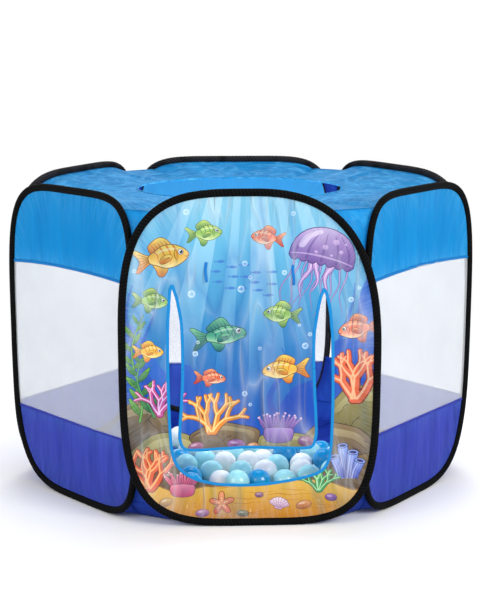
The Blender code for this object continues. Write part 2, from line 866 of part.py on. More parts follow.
def keepLargestBody(data):
    """Leaves only the outermost skin of a mesh, without closed pockets inside it."""
    work = bmesh.new()
    work.from_mesh(data)
    bmesh.ops.dissolve_degenerate(work, dist=1e-6, edges=work.edges[:])
    unseen = set(work.verts)
    largest = set()
    while unseen:
        waiting = [unseen.pop()]
        island = set(waiting)
        while waiting:
            for edge in waiting.pop().link_edges:
                for vert in edge.verts:
                    if vert not in island:
                        island.add(vert)
                        waiting.append(vert)
        unseen -= island
        if len(island) > len(largest):
            largest = island
    spare = [vert for vert in work.verts if vert not in largest]
    bmesh.ops.delete(work, geom=spare, context="VERTS")
    work.to_mesh(data)
    work.free()


def buildTent():
    panels = ringPlan()
    profile = bindingProfile()
    for panel in panels:
        placePanel(panel)
    bpy.context.view_layer.update()
    for panel in panels:
        addLoop(panel, profile)
    addFrontPanel(panels[0])
    addFlap(panels[0])
    addTies(panels[0])
    for panel in panels[1:]:
        addSidePanel(panel)
    for first, second in zip(panels, panels[1:] + panels[:1]):
        addGusset(first, second, True)
        addGusset(first, second, False)
    addRoof(panels)
    addFloor(panels)
    addBallBed()


buildTent()
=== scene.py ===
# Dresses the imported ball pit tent: bindings, bands, nets, printed front, roof, floor and balls.
# Metres, +Z up, the door faces -Y.
import math

import bpy
import numpy as np
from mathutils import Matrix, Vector, geometry


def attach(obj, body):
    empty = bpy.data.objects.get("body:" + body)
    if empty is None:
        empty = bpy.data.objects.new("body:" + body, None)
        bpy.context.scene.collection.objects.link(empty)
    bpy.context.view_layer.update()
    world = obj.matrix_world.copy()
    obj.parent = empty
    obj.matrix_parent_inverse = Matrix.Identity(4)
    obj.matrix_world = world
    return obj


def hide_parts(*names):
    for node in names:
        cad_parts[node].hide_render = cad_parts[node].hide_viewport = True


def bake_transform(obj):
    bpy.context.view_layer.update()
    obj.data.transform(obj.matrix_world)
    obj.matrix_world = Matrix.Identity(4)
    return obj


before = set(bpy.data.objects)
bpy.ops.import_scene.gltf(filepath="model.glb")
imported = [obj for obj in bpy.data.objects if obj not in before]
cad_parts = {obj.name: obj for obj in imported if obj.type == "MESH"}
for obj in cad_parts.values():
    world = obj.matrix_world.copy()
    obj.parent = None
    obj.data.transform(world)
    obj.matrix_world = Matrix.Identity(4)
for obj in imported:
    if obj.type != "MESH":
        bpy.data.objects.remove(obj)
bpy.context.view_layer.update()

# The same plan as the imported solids
ring = {
    "depth": 0.900,
    "frontWidth": 0.565,
    "sideCorner": (0.551, -0.072),
    "backCornerX": 0.275,
    "tuck": 0.0225,
    "frontHeight": 0.743,
    "sideHeight": 0.728,
    "binding": 0.008,
    "gap": 0.0003,
    "upperSeam": 0.535,
    "upperArch": 0.010,
    "lowerSeam": 0.185,
    "roofSeam": 0.695,
    "floorSeam": 0.045,
}
yFront = -ring["depth"] / 2 + ring["binding"]
yBack = -yFront
zUp = np.array([0.0, 0.0, 1.0])


# Small helpers

def unit(vector):
    return vector / np.linalg.norm(vector, axis=-1, keepdims=True)


def runAlong(path):
    # how far along a path each of its points lies
    return np.concatenate([[0], np.cumsum(np.linalg.norm(np.diff(path, axis=0), axis=-1))])


def evenPoints(path, count, closed=False):
    # points at even distances along a path, and its length
    run = runAlong(path)
    places = np.linspace(0, run[-1], count, endpoint=not closed)
    return np.stack([np.interp(places, run, part) for part in path.T], axis=-1), float(run[-1])


def smoothNoise(x, y, seed):
    # value noise from 0 to 1: a hashed value at each whole (x, y), eased in between
    xWhole = np.floor(x).astype(np.int64)
    yWhole = np.floor(y).astype(np.int64)
    xPart = x - xWhole
    yPart = y - yWhole
    xPart = xPart * xPart * (3 - 2 * xPart)
    yPart = yPart * yPart * (3 - 2 * yPart)

    def hashed(i, j):
        mixed = (i * 374761393 + j * 668265263 + seed * 97463477) & 0xFFFFFFFF
        mixed = ((mixed ^ (mixed >> 13)) * 1274126177) & 0xFFFFFFFF
        return ((mixed ^ (mixed >> 16)) & 0xFFFF) / 65535.0

    low = hashed(xWhole, yWhole) * (1 - xPart) + hashed(xWhole + 1, yWhole) * xPart
    high = hashed(xWhole, yWhole + 1) * (1 - xPart) + hashed(xWhole + 1, yWhole + 1) * xPart
    return low * (1 - yPart) + high * yPart


def newMesh(name, points, faces, uv=None, perPoint=None):
    # faces is one array, so all have the same number of corners; uv is given per point
    data = bpy.data.meshes.new(name)
    data.vertices.add(len(points))
    data.vertices.foreach_set("co", np.asarray(points, np.float32).ravel())
    count, size = faces.shape
    data.loops.add(count * size)
    data.loops.foreach_set("vertex_index", faces.astype(np.int32).ravel())
    data.polygons.add(count)
    data.polygons.foreach_set("loop_start", np.arange(0, count * size, size, dtype=np.int32))
    if uv is not None:
        layer = data.uv_layers.new(name="UVMap")
        layer.data.foreach_set("uv", np.asarray(uv, np.float32)[faces.ravel()].ravel())
    data.update(calc_edges=True)
    data.shade_smooth()
    for key, values in (perPoint or {}).items():
        values = np.asarray(values, np.float32).reshape(len(points), -1)
        kind, slot = ("FLOAT", "value") if values.shape[1] == 1 else ("FLOAT_VECTOR", "vector")
        data.attributes.new(key, kind, "POINT").data.foreach_set(slot, values.ravel())
    return data


def newObject(name, data):
    made = bpy.data.objects.new(name, data)
    bpy.context.scene.collection.objects.link(made)
    return made


def newPiece(name, data, material, body, replaced):
    # a visible piece that rides on a body and stands for solids of the pack
    made = newObject(name, data)
    data.materials.append(material)
    if body:
        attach(made, body)
    if replaced:
        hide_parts(*replaced)
    return made


def gridFaces(rows, columns, wrapRows=False, wrapColumns=False):
    # the quads of a grid of points, closed on itself where it wraps
    index = np.arange(rows * columns).reshape(rows, columns)
    if wrapRows:
        index = np.vstack([index, index[:1]])
    if wrapColumns:
        index = np.hstack([index, index[:, :1]])
    corners = (index[:-1, :-1], index[:-1, 1:], index[1:, 1:], index[1:, :-1])
    return np.stack(corners, axis=-1).reshape(-1, 4)


def gridMesh(name, points, uv, wrapRows=False, wrapColumns=False, flip=False, perPoint=None):
    # a surface through a grid of points; flip turns its faces to the other side
    faces = gridFaces(*points.shape[:2], wrapRows, wrapColumns)
    if flip:
        faces = faces[:, ::-1]
    return newMesh(name, points.reshape(-1, 3), faces, uv.reshape(-1, 2), perPoint)


def giveThickness(piece, thickness):
    # half on each side of the surface
    solid = piece.modifiers.new("Thickness", "SOLIDIFY")
    solid.thickness = thickness
    solid.offset = 0.0
    return piece


def surfaceArea(points):
    # the sum of |across x down| over the cells of a grid
    across = points[:, 1:] - points[:, :-1]
    down = points[1:] - points[:-1]
    return float(np.linalg.norm(np.cross(across[:-1], down[:, :-1]), axis=-1).sum())


# The ring of panels

def edgeSetback(first, second):
    # how far two loops stand back from their corner: (binding + gap / 2) / sin(angle / 2)
    angle = math.acos(float(np.dot(first, second)))
    return (ring["binding"] + ring["gap"] / 2) / math.sin(angle / 2)


def ringPlan():
    # the axes, the middle and the size of each panel; the left side mirrors the right one
    frontEdge = ring["frontWidth"] / 2 - ring["binding"]
    tucked = np.array([frontEdge - ring["tuck"], yFront + 2 * ring["binding"] + ring["gap"]])
    side = np.array(ring["sideCorner"])
    back = np.array([ring["backCornerX"], yBack])
    toFront = unit(tucked - side)
    toBack = unit(back - side)
    across = np.array([-1.0, 0.0])
    sideSetback = edgeSetback(toFront, toBack)
    backSetback = edgeSetback(-toBack, across)
    mirror = np.array([-1.0, 1.0])
    rightFront = (tucked, side + toFront * sideSetback)
    rightBack = (side + toBack * sideSetback, back - toBack * backSetback)
    backEdges = (back + across * backSetback, (back + across * backSetback) * mirror)
    # name, edges, height, squareness of the corners: right top, left top, left bottom, right bottom
    rows = [
        ("front", (np.array([-frontEdge, yFront]), np.array([frontEdge, yFront])),
         ring["frontHeight"], (2.6, 3.5, 3.7, 4.5)),
        ("right_front", rightFront, ring["sideHeight"], (4.3, 6.0, 6.0, 3.4)),
        ("right_back", rightBack, ring["sideHeight"], (6.0, 3.6, 4.5, 4.5)),
        ("back", backEdges, ring["sideHeight"], (6.0, 6.0, 4.5, 4.5)),
        ("left_back", (rightBack[1] * mirror, rightBack[0] * mirror), ring["sideHeight"],
         (3.6, 6.0, 4.5, 4.5)),
        ("left_front", (rightFront[1] * mirror, rightFront[0] * mirror), ring["sideHeight"],
         (6.0, 4.3, 3.4, 6.0)),
    ]
    panels = []
    for name, (start, end), height, square in rows:
        along = np.append(unit(end - start), 0.0)
        middle = np.append((start + end) / 2, height / 2)
        panels.append({
            "name": name,
            "along": along,
            "outward": np.cross(along, zUp),
            "middle": middle,
            "halfWidth": float(np.linalg.norm(end - start)) / 2,
            "halfHeight": height / 2 - ring["binding"],
            "square": square,
        })
    return panels


def quarterPower(panel, x, y):
    # the exponent of the quarter of the loop that a point is in
    rightTop, leftTop, leftBottom, rightBottom = panel["square"]
    return np.where(y >= 0, np.where(x >= 0, rightTop, leftTop), np.where(x < 0, leftBottom, rightBottom))


def loopPoint(panel, turn, inset=0.0):
    # superellipse: x = a |cos|^(2/n), y = b |sin|^(2/n), each quarter with its own n
    cosine = np.cos(turn)
    sine = np.sin(turn)
    power = quarterPower(panel, cosine, sine)
    x = (panel["halfWidth"] - inset) * np.sign(cosine) * np.abs(cosine) ** (2 / power)
    y = (panel["halfHeight"] - inset) * np.sign(sine) * np.abs(sine) ** (2 / power)
    return x, y


def evenLoop(panel, count, inset=0.0):
    # the loop as points at even distances along it, and its length
    turn = np.linspace(0, 2 * np.pi, 20001)
    return evenPoints(np.stack(loopPoint(panel, turn, inset), axis=-1), count, closed=True)


def edgeX(panel, y, side, inset=0.0):
    # where the loop's right (1) or left (-1) edge is at a height y above the panel's middle
    rightTop, leftTop, leftBottom, rightBottom = panel["square"]
    top, bottom = (rightTop, rightBottom) if side > 0 else (leftTop, leftBottom)
    power = np.where(y >= 0, top, bottom)
    share = np.clip(np.abs(y) / (panel["halfHeight"] - inset), 0, 1)
    return side * (panel["halfWidth"] - inset) * (1 - share ** power) ** (1 / power)


def inWorld(panel, x, y, out=0.0):
    # from a panel's own axes (along, up, outward) to the tent's
    x, y, out = np.broadcast_arrays(x, y, out)
    place = panel["middle"] + x[..., None] * panel["along"]
    return place + y[..., None] * zUp + out[..., None] * panel["outward"]


gatherLook = {"squeeze": 0.12, "scale": 105.0, "fade": 1.5, "sharpness": 8.0}


def gatherField(panel, x, y):
    # where a point is beside the loop: its turn as a place on a circle of the loop's size, and its
    # distance in from the loop, (1 - r) R with r = (|x/a|^n + |y/b|^n)^(1/n), squeezed
    u, v = x / panel["halfWidth"], y / panel["halfHeight"]
    power = quarterPower(panel, u, v)
    size = (np.abs(u) ** power + np.abs(v) ** power) ** (1 / power)
    turn = np.arctan2(v, u)
    radius = (panel["halfWidth"] + panel["halfHeight"]) / 2
    away = gatherLook["squeeze"] * radius * (1 - size)
    return np.stack([radius * np.cos(turn), radius * np.sin(turn), away], axis=-1)


panels = ringPlan()
byName = {panel["name"]: panel for panel in panels}


# Materials: a weave, streaks and folds for the cloths, and plainer finishes for the rest

class Nodes:
    # the nodes of a material or of the world; most methods add some and return an output
    def __init__(self, owner):
        owner.use_nodes = True
        self.owner = owner
        self.every = owner.node_tree.nodes
        self.links = owner.node_tree.links
        self.shader = self.every.get("Principled BSDF")
        self.normal = None

    def add(self, kind):
        return self.every.new("ShaderNode" + kind)

    def fill(self, socket, value):
        # a socket takes a number, a colour or another node's output
        if isinstance(value, tuple):
            socket.default_value = (*value, 1.0)
        elif isinstance(value, (int, float)):
            socket.default_value = value
        else:
            self.links.new(value, socket)

    def give(self, values):
        for key, value in values.items():
            self.fill(self.shader.inputs[key], value)

    def texture(self, kind, scale, source="UV", stretch=(1.0, 1.0, 1.0), turn=0.0, bands="X", **settings):
        # a pattern on the piece's own coordinates, turned and stretched by a Mapping node
        mapping = self.add("Mapping")
        mapping.inputs["Rotation"].default_value = (0.0, 0.0, turn)
        mapping.inputs["Scale"].default_value = stretch
        self.links.new(self.add("TexCoord").outputs[source], mapping.inputs["Vector"])
        made = self.add("Tex" + kind)
        if kind == "Wave":
            made.bands_direction = bands
        for key, value in {"Scale": scale, **settings}.items():
            made.inputs[key].default_value = value
        self.links.new(mapping.outputs["Vector"], made.inputs["Vector"])
        return made.outputs["Fac"]

    def attribute(self, name, output):
        made = self.add("Attribute")
        made.attribute_name = name
        return made.outputs[output]

    def part(self, vector, axis):
        made = self.add("SeparateXYZ")
        self.links.new(vector, made.inputs["Vector"])
        return made.outputs[axis]

    def maths(self, operation, first, second=0.0):
        made = self.add("Math")
        made.operation = operation
        self.fill(made.inputs[0], first)
        self.fill(made.inputs[1], second)
        return made.outputs[0]

    def times(self, first, second):
        return self.maths("MULTIPLY", first, second)

    def mix(self, factor, first, second, blendType="MIX"):
        made = self.add("Mix")
        made.data_type = "RGBA"
        made.blend_type = blendType
        for number, value in ((0, factor), (6, first), (7, second)):
            self.fill(made.inputs[number], value)
        return made.outputs[2]

    def remap(self, value, low, high, toLow=0.0, toHigh=1.0):
        made = self.add("MapRange")
        keys = ("Value", "From Min", "From Max", "To Min", "To Max")
        for key, amount in zip(keys, (value, low, high, toLow, toHigh)):
            self.fill(made.inputs[key], amount)
        return made.outputs["Result"]

    def bump(self, height, strength, distance):
        # each bump lies on the one before it
        made = self.add("Bump")
        made.inputs["Strength"].default_value = strength
        made.inputs["Distance"].default_value = distance
        self.links.new(height, made.inputs["Height"])
        if self.normal is not None:
            self.links.new(self.normal, made.inputs["Normal"])
        self.normal = made.outputs["Normal"]
        self.links.new(self.normal, self.shader.inputs["Normal"])

    def ridge(self, noise, sharpness):
        # 1 where a noise n crosses its middle, less beside it: (1 - |2 n - 1|) ^ sharpness
        offset = self.times(self.maths("ABSOLUTE", self.maths("SUBTRACT", noise, 0.5)), 2.0)
        return self.maths("POWER", self.maths("SUBTRACT", 1.0, offset), sharpness)

    def gathers(self, attribute, reach):
        # folds that run in from the binding or a seam and die out at a distance from it, and glints along
        # their ridges for a painted highlight
        place = self.attribute(attribute, "Vector")
        noise = self.add("TexNoise")
        noise.inputs["Scale"].default_value = gatherLook["scale"]
        noise.inputs["Detail"].default_value = 2.0
        self.links.new(place, noise.inputs["Vector"])
        near = self.remap(self.part(place, "Z"), 0.0, gatherLook["squeeze"] * reach, 1.0, 0.0)
        near = self.maths("POWER", near, gatherLook["fade"])
        glints = self.ridge(noise.outputs["Fac"], gatherLook["sharpness"])
        return self.times(noise.outputs["Fac"], near), self.times(glints, near)

    def showBy(self, factor, shader):
        # the main shader and another one, mixed
        mixed = self.add("MixShader")
        self.fill(mixed.inputs["Fac"], factor)
        self.links.new(self.shader.outputs["BSDF"], mixed.inputs[1])
        self.links.new(shader.outputs[0], mixed.inputs[2])
        self.links.new(mixed.outputs["Shader"], self.every["Material Output"].inputs["Surface"])

    def letLightThrough(self, colour, share):
        # thin cloth: part of the light that falls on its back comes out of its front
        translucent = self.add("BsdfTranslucent")
        self.links.new(colour, translucent.inputs["Color"])
        self.showBy(share, translucent)

    def seen(self):
        # 1 where the camera, a reflection or a clear material looks, 0 where light is gathered
        path = self.add("LightPath").outputs
        direct = self.maths("MAXIMUM", path["Is Camera Ray"], path["Is Glossy Ray"])
        return self.maths("MAXIMUM", direct, path["Is Transmission Ray"])


def newFinish(name, **constants):
    made = Nodes(bpy.data.materials.new(name))
    made.give(constants)
    return made


clothLook = {
    "roughness": 0.46,
    "specular": 0.10,
    # the painted highlight colour of the gathers and crinkles, then the painted shade colour of the
    # crinkles' hollows
    "pale": (0.20, 0.66, 0.95),
    "hollowShade": (0.30, 0.50, 0.70),
    "foldReach": 0.085,
    "seamReach": 0.045,
    "weaveScale": 150.0,
    "streakScale": 26.0,
    "fineScale": 91.0,
    "fineShare": 0.4,
    "streakRange": (0.52, 0.92),
    "streakStretch": (1.0, 0.10, 1.0),
    "crinkleScale": 26.0,
    "hollowScale": 17.0,
    "hollowStretch": (1.0, 1.6, 1.0),
    "crinkleSharpness": 14.0,
    # light that has passed through the cloth is paler than light off its face
    "through": 0.42,
    "glow": (0.28, 0.68, 0.92),
    "glowShare": 0.42,
    # strength and distance
    "weaveBump": (0.15, 0.0002),
    "streakBump": (0.5, 0.0022),
    "foldBump": (0.8, 0.0045),
    "crinkleBump": (0.9, 0.007),
}


def satinCloth(name, colour, streaked, amount, gathered=0.0, crinkled=0.0, rear=None):
    # thin polyester: streaks along its drop, folds in from the binding, a fine weave in the bump; painted
    # highlights on the folds and crinkles, painted shade in the crinkles' hollows and painted light
    # towards the back
    look = clothLook
    cloth = newFinish(name, Roughness=look["roughness"])
    cloth.give({"Specular IOR Level": look["specular"]})
    streaks = cloth.texture("Noise", look["streakScale"], stretch=look["streakStretch"], Detail=4.0,
                            Roughness=0.6)
    fine = cloth.texture("Noise", look["fineScale"], stretch=look["streakStretch"], Detail=3.0)
    streaks = cloth.maths("ADD", cloth.times(fine, look["fineShare"]), streaks)
    painted = cloth.mix(cloth.remap(streaks, *look["streakRange"], 0.0, amount), colour, streaked)
    # painted light: towards the back of the tent the colour is mixed towards the rear colour, standing in
    # for the light that the cloth catches there
    if rear:  # the cloth towards the back of the tent catches the light in another way
        depth = cloth.part(cloth.add("TexCoord").outputs["Object"], "Y")
        share = cloth.remap(depth, rear["from"], rear["to"], 0.0, rear["share"])
        painted = cloth.mix(share, painted, rear["colour"])
    cloth.bump(cloth.texture("Wave", look["weaveScale"]), *look["weaveBump"])
    cloth.bump(streaks, *look["streakBump"])
    if gathered:
        for attribute, reach in (("gather", look["foldReach"]), ("seam", look["seamReach"])):
            folds, glints = cloth.gathers(attribute, reach)
            # painted highlight: the pale colour along the gathers' ridges
            painted = cloth.mix(cloth.times(glints, gathered), painted, look["pale"])
            cloth.bump(folds, *look["foldBump"])
    if crinkled:
        crinkle = cloth.texture("Noise", look["crinkleScale"], Detail=6.0, Distortion=0.5)
        hollowShade = cloth.texture("Noise", look["hollowScale"], stretch=look["hollowStretch"], Detail=5.0)
        # painted highlight along the crinkles, painted shade along the hollows between them
        for noise, tint, blendType in ((crinkle, "pale", "MIX"), (hollowShade, "hollowShade", "MULTIPLY")):
            lines = cloth.times(cloth.ridge(noise, look["crinkleSharpness"]), crinkled)
            painted = cloth.mix(lines, painted, look[tint], blendType)
        cloth.bump(crinkle, *look["crinkleBump"])
    cloth.give({"Base Color": painted})
    cloth.letLightThrough(cloth.mix(look["glowShare"], painted, look["glow"]), look["through"])
    return cloth.owner


tapeLook = {"speckleScale": 900.0, "speckleRange": (0.35, 0.75), "crestHighlight": (0.075, 0.073, 0.084)}


def tapeMaterial(name, colour, roughness, weaveScale=132.7, ribbed=False):
    # woven tape: a cross weave, and on the gathered one a painted highlight on the crests
    tape = newFinish(name, Roughness=roughness)
    lighter = tuple(channel * 1.5 + 0.001 for channel in colour)
    speckle = tape.texture("Noise", tapeLook["speckleScale"], Detail=2.0)
    painted = tape.mix(tape.remap(speckle, *tapeLook["speckleRange"]), colour, lighter)
    if ribbed:
        painted = tape.mix(tape.attribute("crest", "Fac"), painted, tapeLook["crestHighlight"])
    tape.give({"Base Color": painted, "Specular IOR Level": 0.03 if ribbed else 0.15})
    tape.bump(tape.texture("Wave", weaveScale, Distortion=1.5, Detail=2.0), 0.4, 0.0003)
    return tape.owner


netLook = {"threadScale": 312.5, "threadRange": (0.45, 0.75), "cover": (0.09, 0.44), "patchScale": 14.0}


def netMaterial(name, colour):
    # fine net: threads both ways, about 1 mm apart, and mostly clear between them
    net = newFinish(name, Roughness=0.6)
    waves = [net.texture("Wave", netLook["threadScale"], bands=axis) for axis in ("X", "Y")]
    thread = net.maths("MAXIMUM", *(net.remap(wave, *netLook["threadRange"]) for wave in waves))
    patches = net.remap(net.texture("Noise", netLook["patchScale"], Detail=2.0), 0.3, 0.7)
    painted = net.mix(patches, colour, tuple(channel * 0.93 for channel in colour))
    cover = net.remap(thread, 0.0, 1.0, *netLook["cover"])
    net.give({"Base Color": painted, "Sheen Weight": 0.3, "Alpha": cover})
    net.bump(thread, 0.3, 0.0003)
    return net.owner


printLook = {
    "roughness": 0.36,
    "specular": 0.14,
    "through": 0.16,
    "haze": (0.85, 0.93, 1.0),
    # the painted highlight colour of the creases and glints; shade is the painted shade colour of the
    # slack folds
    "pale": (0.90, 0.96, 1.0),
    "shade": (0.30, 0.48, 0.78),
    "foldReach": 0.10,
    "streakScale": 34.0,
    "streakStretch": (1.0, 0.25, 1.0),
    "streakRange": (0.45, 0.80, 0.0, 0.08),
    "patchScale": 5.0,
    "patchRange": (0.35, 0.6),
    "shadeShare": 0.50,
    "creaseHighlightShare": 0.30,
    "glintShare": 0.12,
    "weaveBump": (0.12, 0.0002),
    "ridgeBump": (1.0, 0.0034),
    # scale, stretch, turn, detail, sharpness of its ridges, distance of its bump
    "creases": (11.0, (1.0, 0.20, 1.0), 0.45, 1.5, 22.0, 0.018),
    "crossing": (13.0, (1.0, 0.24, 1.0), -0.75, 1.5, 26.0, 0.016),
    "slack": (8.0, (1.0, 0.30, 1.0), 0.25, 2.0, 15.0, 0.030),
}


def printMaterial(name):
    # printed satin: the print is the piece's own colour attribute, and long creases cross it, with painted
    # shade along the slack folds and painted highlights along the creases and glints
    look = printLook
    cloth = newFinish(name, Roughness=look["roughness"])
    cloth.give({"Specular IOR Level": look["specular"]})
    streaks = cloth.texture("Noise", look["streakScale"], stretch=look["streakStretch"], Detail=5.0)
    painted = cloth.mix(cloth.remap(streaks, *look["streakRange"]), cloth.attribute("print", "Color"),
                        look["haze"])
    noises, ridges = {}, {}
    for key in ("creases", "crossing", "slack"):
        scale, stretch, turn, detail, sharpness, _ = look[key]
        noises[key] = cloth.texture("Noise", scale, stretch=stretch, turn=turn, Detail=detail)
        ridges[key] = cloth.ridge(noises[key], sharpness)
    patches = cloth.remap(cloth.texture("Noise", look["patchScale"], Detail=1.0), *look["patchRange"])
    ridge = cloth.times(cloth.maths("MAXIMUM", ridges["creases"], ridges["crossing"]), patches)
    folds, glints = cloth.gathers("gather", look["foldReach"])
    # painted shade along the slack folds, painted highlights along the creases and the glints
    for mark, share, tint, blendType in ((ridges["slack"], "shadeShare", "shade", "MULTIPLY"),
                                         (ridge, "creaseHighlightShare", "pale", "MIX"),
                                         (glints, "glintShare", "pale", "MIX")):
        painted = cloth.mix(cloth.times(mark, look[share]), painted, look[tint], blendType)
    cloth.give({"Base Color": painted})
    cloth.bump(cloth.texture("Wave", clothLook["weaveScale"]), *look["weaveBump"])
    cloth.bump(ridge, *look["ridgeBump"])
    cloth.bump(folds, *clothLook["foldBump"])
    for key in ("crossing", "slack", "creases"):
        cloth.bump(noises[key], 1.0, look[key][-1])
    cloth.letLightThrough(painted, look["through"])
    return cloth.owner


def ballMaterial(name, colour):
    # blown polyethylene: glossy, a little uneven, light soaks in slightly
    skin = newFinish(name, Roughness=0.22)
    skin.give({"Base Color": colour, "Subsurface Weight": 0.12, "Coat Weight": 0.3,
               "Coat Roughness": 0.1})
    skin.shader.inputs["Subsurface Radius"].default_value = (0.006, 0.006, 0.006)
    skin.bump(skin.texture("Noise", 160.0, "Object", Detail=2.0), 0.12, 0.0006)
    return skin.owner


# the rear mixes are painted light: a paler inner face on the back band, a deeper blue towards the back of
# the roof
skyCloth = satinCloth("sky_cloth", (0.000, 0.280, 0.630), (0.005, 0.420, 0.790), 0.6, gathered=0.38,
                      rear={"from": 0.37, "to": 0.42, "share": 0.42, "colour": (0.200, 0.600, 0.740)})
roofCloth = satinCloth("roof_cloth", (0.004, 0.280, 0.590), (0.060, 0.460, 0.780), 1.0, crinkled=0.65,
                       rear={"from": 0.05, "to": 0.36, "share": 0.55, "colour": (0.000, 0.340, 0.700)})
violetCloth = satinCloth("deep_blue_cloth", (0.040, 0.046, 0.400), (0.090, 0.100, 0.600), 0.8)
violetBand = satinCloth("deep_blue_band", (0.040, 0.046, 0.400), (0.090, 0.100, 0.600), 0.8, gathered=0.12)
floorCloth = satinCloth("floor_cloth", (0.012, 0.040, 0.380), (0.040, 0.095, 0.560), 0.7)
gussetCloth = satinCloth("gusset_cloth", (0.003, 0.330, 0.720), (0.030, 0.500, 0.860), 0.7, crinkled=0.25)
blackTape = tapeMaterial("black_tape", (0.0012, 0.0013, 0.0014), 0.6, ribbed=True)
blueTape = tapeMaterial("blue_edging", (0.006, 0.200, 0.500), 0.5)
ribbonTape = tapeMaterial("ribbon_blue", (0.006, 0.150, 0.470), 0.4, 159.2)
seamTape = tapeMaterial("seam_tape", (0.001, 0.150, 0.430), 0.55)
whiteNet = netMaterial("white_net", (0.80, 0.82, 0.84))
printedCloth = printMaterial("printed_cloth")
ballWhite = ballMaterial("ball_white", (0.93, 0.93, 0.91))
ballAqua = ballMaterial("ball_aqua", (0.36, 0.76, 0.80))
ballBlue = ballMaterial("ball_blue", (0.002, 0.300, 0.620))
springSteel = newFinish("spring_steel", Metallic=1.0, Roughness=0.35)
springSteel.give({"Base Color": (0.55, 0.56, 0.58)})
print("materials ready")


# Bindings

bindingLook = {
    "stations": 1500,
    "around": 18,
    "radius": 0.0085,
    "flatness": 0.86,
    "taper": 0.20,
    "ribDepth": 0.0010,
    "sway": 2.4,
    "swayLength": 0.045,
    "unevenLength": 0.018,
    "rearSwell": 0.16,
    # the ribs: distance apart, share of the depth, painted highlight on the crests, turn round the tube
    "front": {"pitch": 0.0078, "share": 0.20, "crestHighlight": 0.12, "slant": 3.0},
    "rear": {"pitch": 0.0100, "share": 0.55, "crestHighlight": 1.0, "slant": 7.0},
}


def addBinding(panel, seed):
    # a tube round the loop: thick at the wire, thinner at the cloth, gathered into slanting ribs:
    # radius = R - depth * uneven * (1 - crest), crest = 0.5 + 0.5 cos(ribs along + slant around + sway)
    look = bindingLook
    atRear = "back" in panel["name"]
    rib = look["rear" if atRear else "front"]
    loop, length = evenLoop(panel, look["stations"])
    x, y = loop.T
    ahead = unit(np.roll(loop, -1, axis=0) - np.roll(loop, 1, axis=0))
    outX, outY = ahead[:, 1], -ahead[:, 0]
    run = np.arange(look["stations"]) / look["stations"] * length
    around = np.arange(look["around"]) * 2 * np.pi / look["around"]
    runGrid, turnGrid = np.meshgrid(run, around, indexing="ij")
    sway = smoothNoise(runGrid / look["swayLength"], turnGrid / 3.0, seed) * look["sway"]
    phase = 2 * np.pi * round(length / rib["pitch"]) * runGrid / length + rib["slant"] * turnGrid + sway
    crest = 0.5 + 0.5 * np.cos(phase)
    uneven = 0.55 + 0.9 * smoothNoise(runGrid / look["unevenLength"], turnGrid / 1.6, seed + 7)
    radius = look["radius"] - look["ribDepth"] * rib["share"] * uneven * (1 - crest)
    if atRear:  # fuller along the top, where no other loop is near
        top = np.clip(y / panel["halfHeight"] * 8 - 7, 0, 1)
        radius = radius * (1 + look["rearSwell"] * top[:, None])
    side = radius * np.cos(turnGrid)
    lift = radius * np.sin(turnGrid) * look["flatness"] * (1 + look["taper"] * np.cos(turnGrid))
    points = inWorld(panel, x[:, None] + outX[:, None] * side, y[:, None] + outY[:, None] * side, lift)
    uv = np.stack([runGrid, turnGrid * ring["binding"]], axis=-1)
    # painted highlight on the crests of the ribs, strongest on the rear loops
    crestHighlight = crest ** 4 * np.clip(uneven * 1.6 - 0.6, 0, 1) * rib["crestHighlight"]
    data = gridMesh(panel["name"] + "_tape", points, uv, wrapRows=True, wrapColumns=True, flip=True,
                    perPoint={"crest": crestHighlight})
    newPiece(panel["name"] + "_gathered_binding", data, blackTape, "tent", [panel["name"] + "_binding"])


for number, panel in enumerate(panels):
    addBinding(panel, 10 * number)
    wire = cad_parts[panel["name"] + "_wire_loop"]
    wire.data.materials.clear()
    wire.data.materials.append(springSteel.owner)
print("bindings ready")


# Side panels: two bands and a net

def foldsOf(u, v, kinds, seed):
    # the sum of height * (noise(u / width, v / length) - 1/2) over the kinds of folds
    swell = 0.0
    for number, (width, length, height) in enumerate(kinds):
        swell = swell + height * (smoothNoise(u / width, v / length, seed + number) - 0.5)
    return swell


bandLook = {
    "inset": 0.0008,
    "edgeShare": 0.9985,
    "rearFall": 0.036,
    "spacing": 0.0045,
    "wrinkle": 0.0011,
    # folds: their width, length and height, here in wrinkles
    "longFolds": ((0.020, 0.11, 1.6),),
    "otherFolds": ((0.0085, 0.06, 0.7), (0.07, 0.09, 2.2)),
    "wander": (0.2, 0.1, 0.062),
    "thickness": 0.0006,
    "netSpacing": 0.008,
    "netFolds": ((0.16, 0.14, 0.0030),),
    "netBillow": 0.0006,
    "netThickness": 0.0003,
    "hemWidth": 0.0065,
    "hemDepth": 0.0012,
    "hemLift": 0.0004,
    "hemThickness": 0.0005,
    "hemStations": 260,
}


def upperSeamY(panel, x):
    # the seam above the net, highest in the middle: arch * (1 - (x / half width)^2)
    arch = ring["upperArch"] * (1 - (x / panel["halfWidth"]) ** 2)
    return ring["upperSeam"] - panel["middle"][2] + arch


def lowerSeamY(panel, x):
    # the seam below the net: level beside the front, falling towards the back in the rear ones
    share = {"right_back": 0.5, "back": 0.0, "left_back": -0.5}.get(panel["name"])
    fall = 0.0 * x
    if share is not None:
        fall = fall + bandLook["rearFall"] * (1 - abs(share) + share * x / panel["halfWidth"])
    return ring["lowerSeam"] - panel["middle"][2] - fall


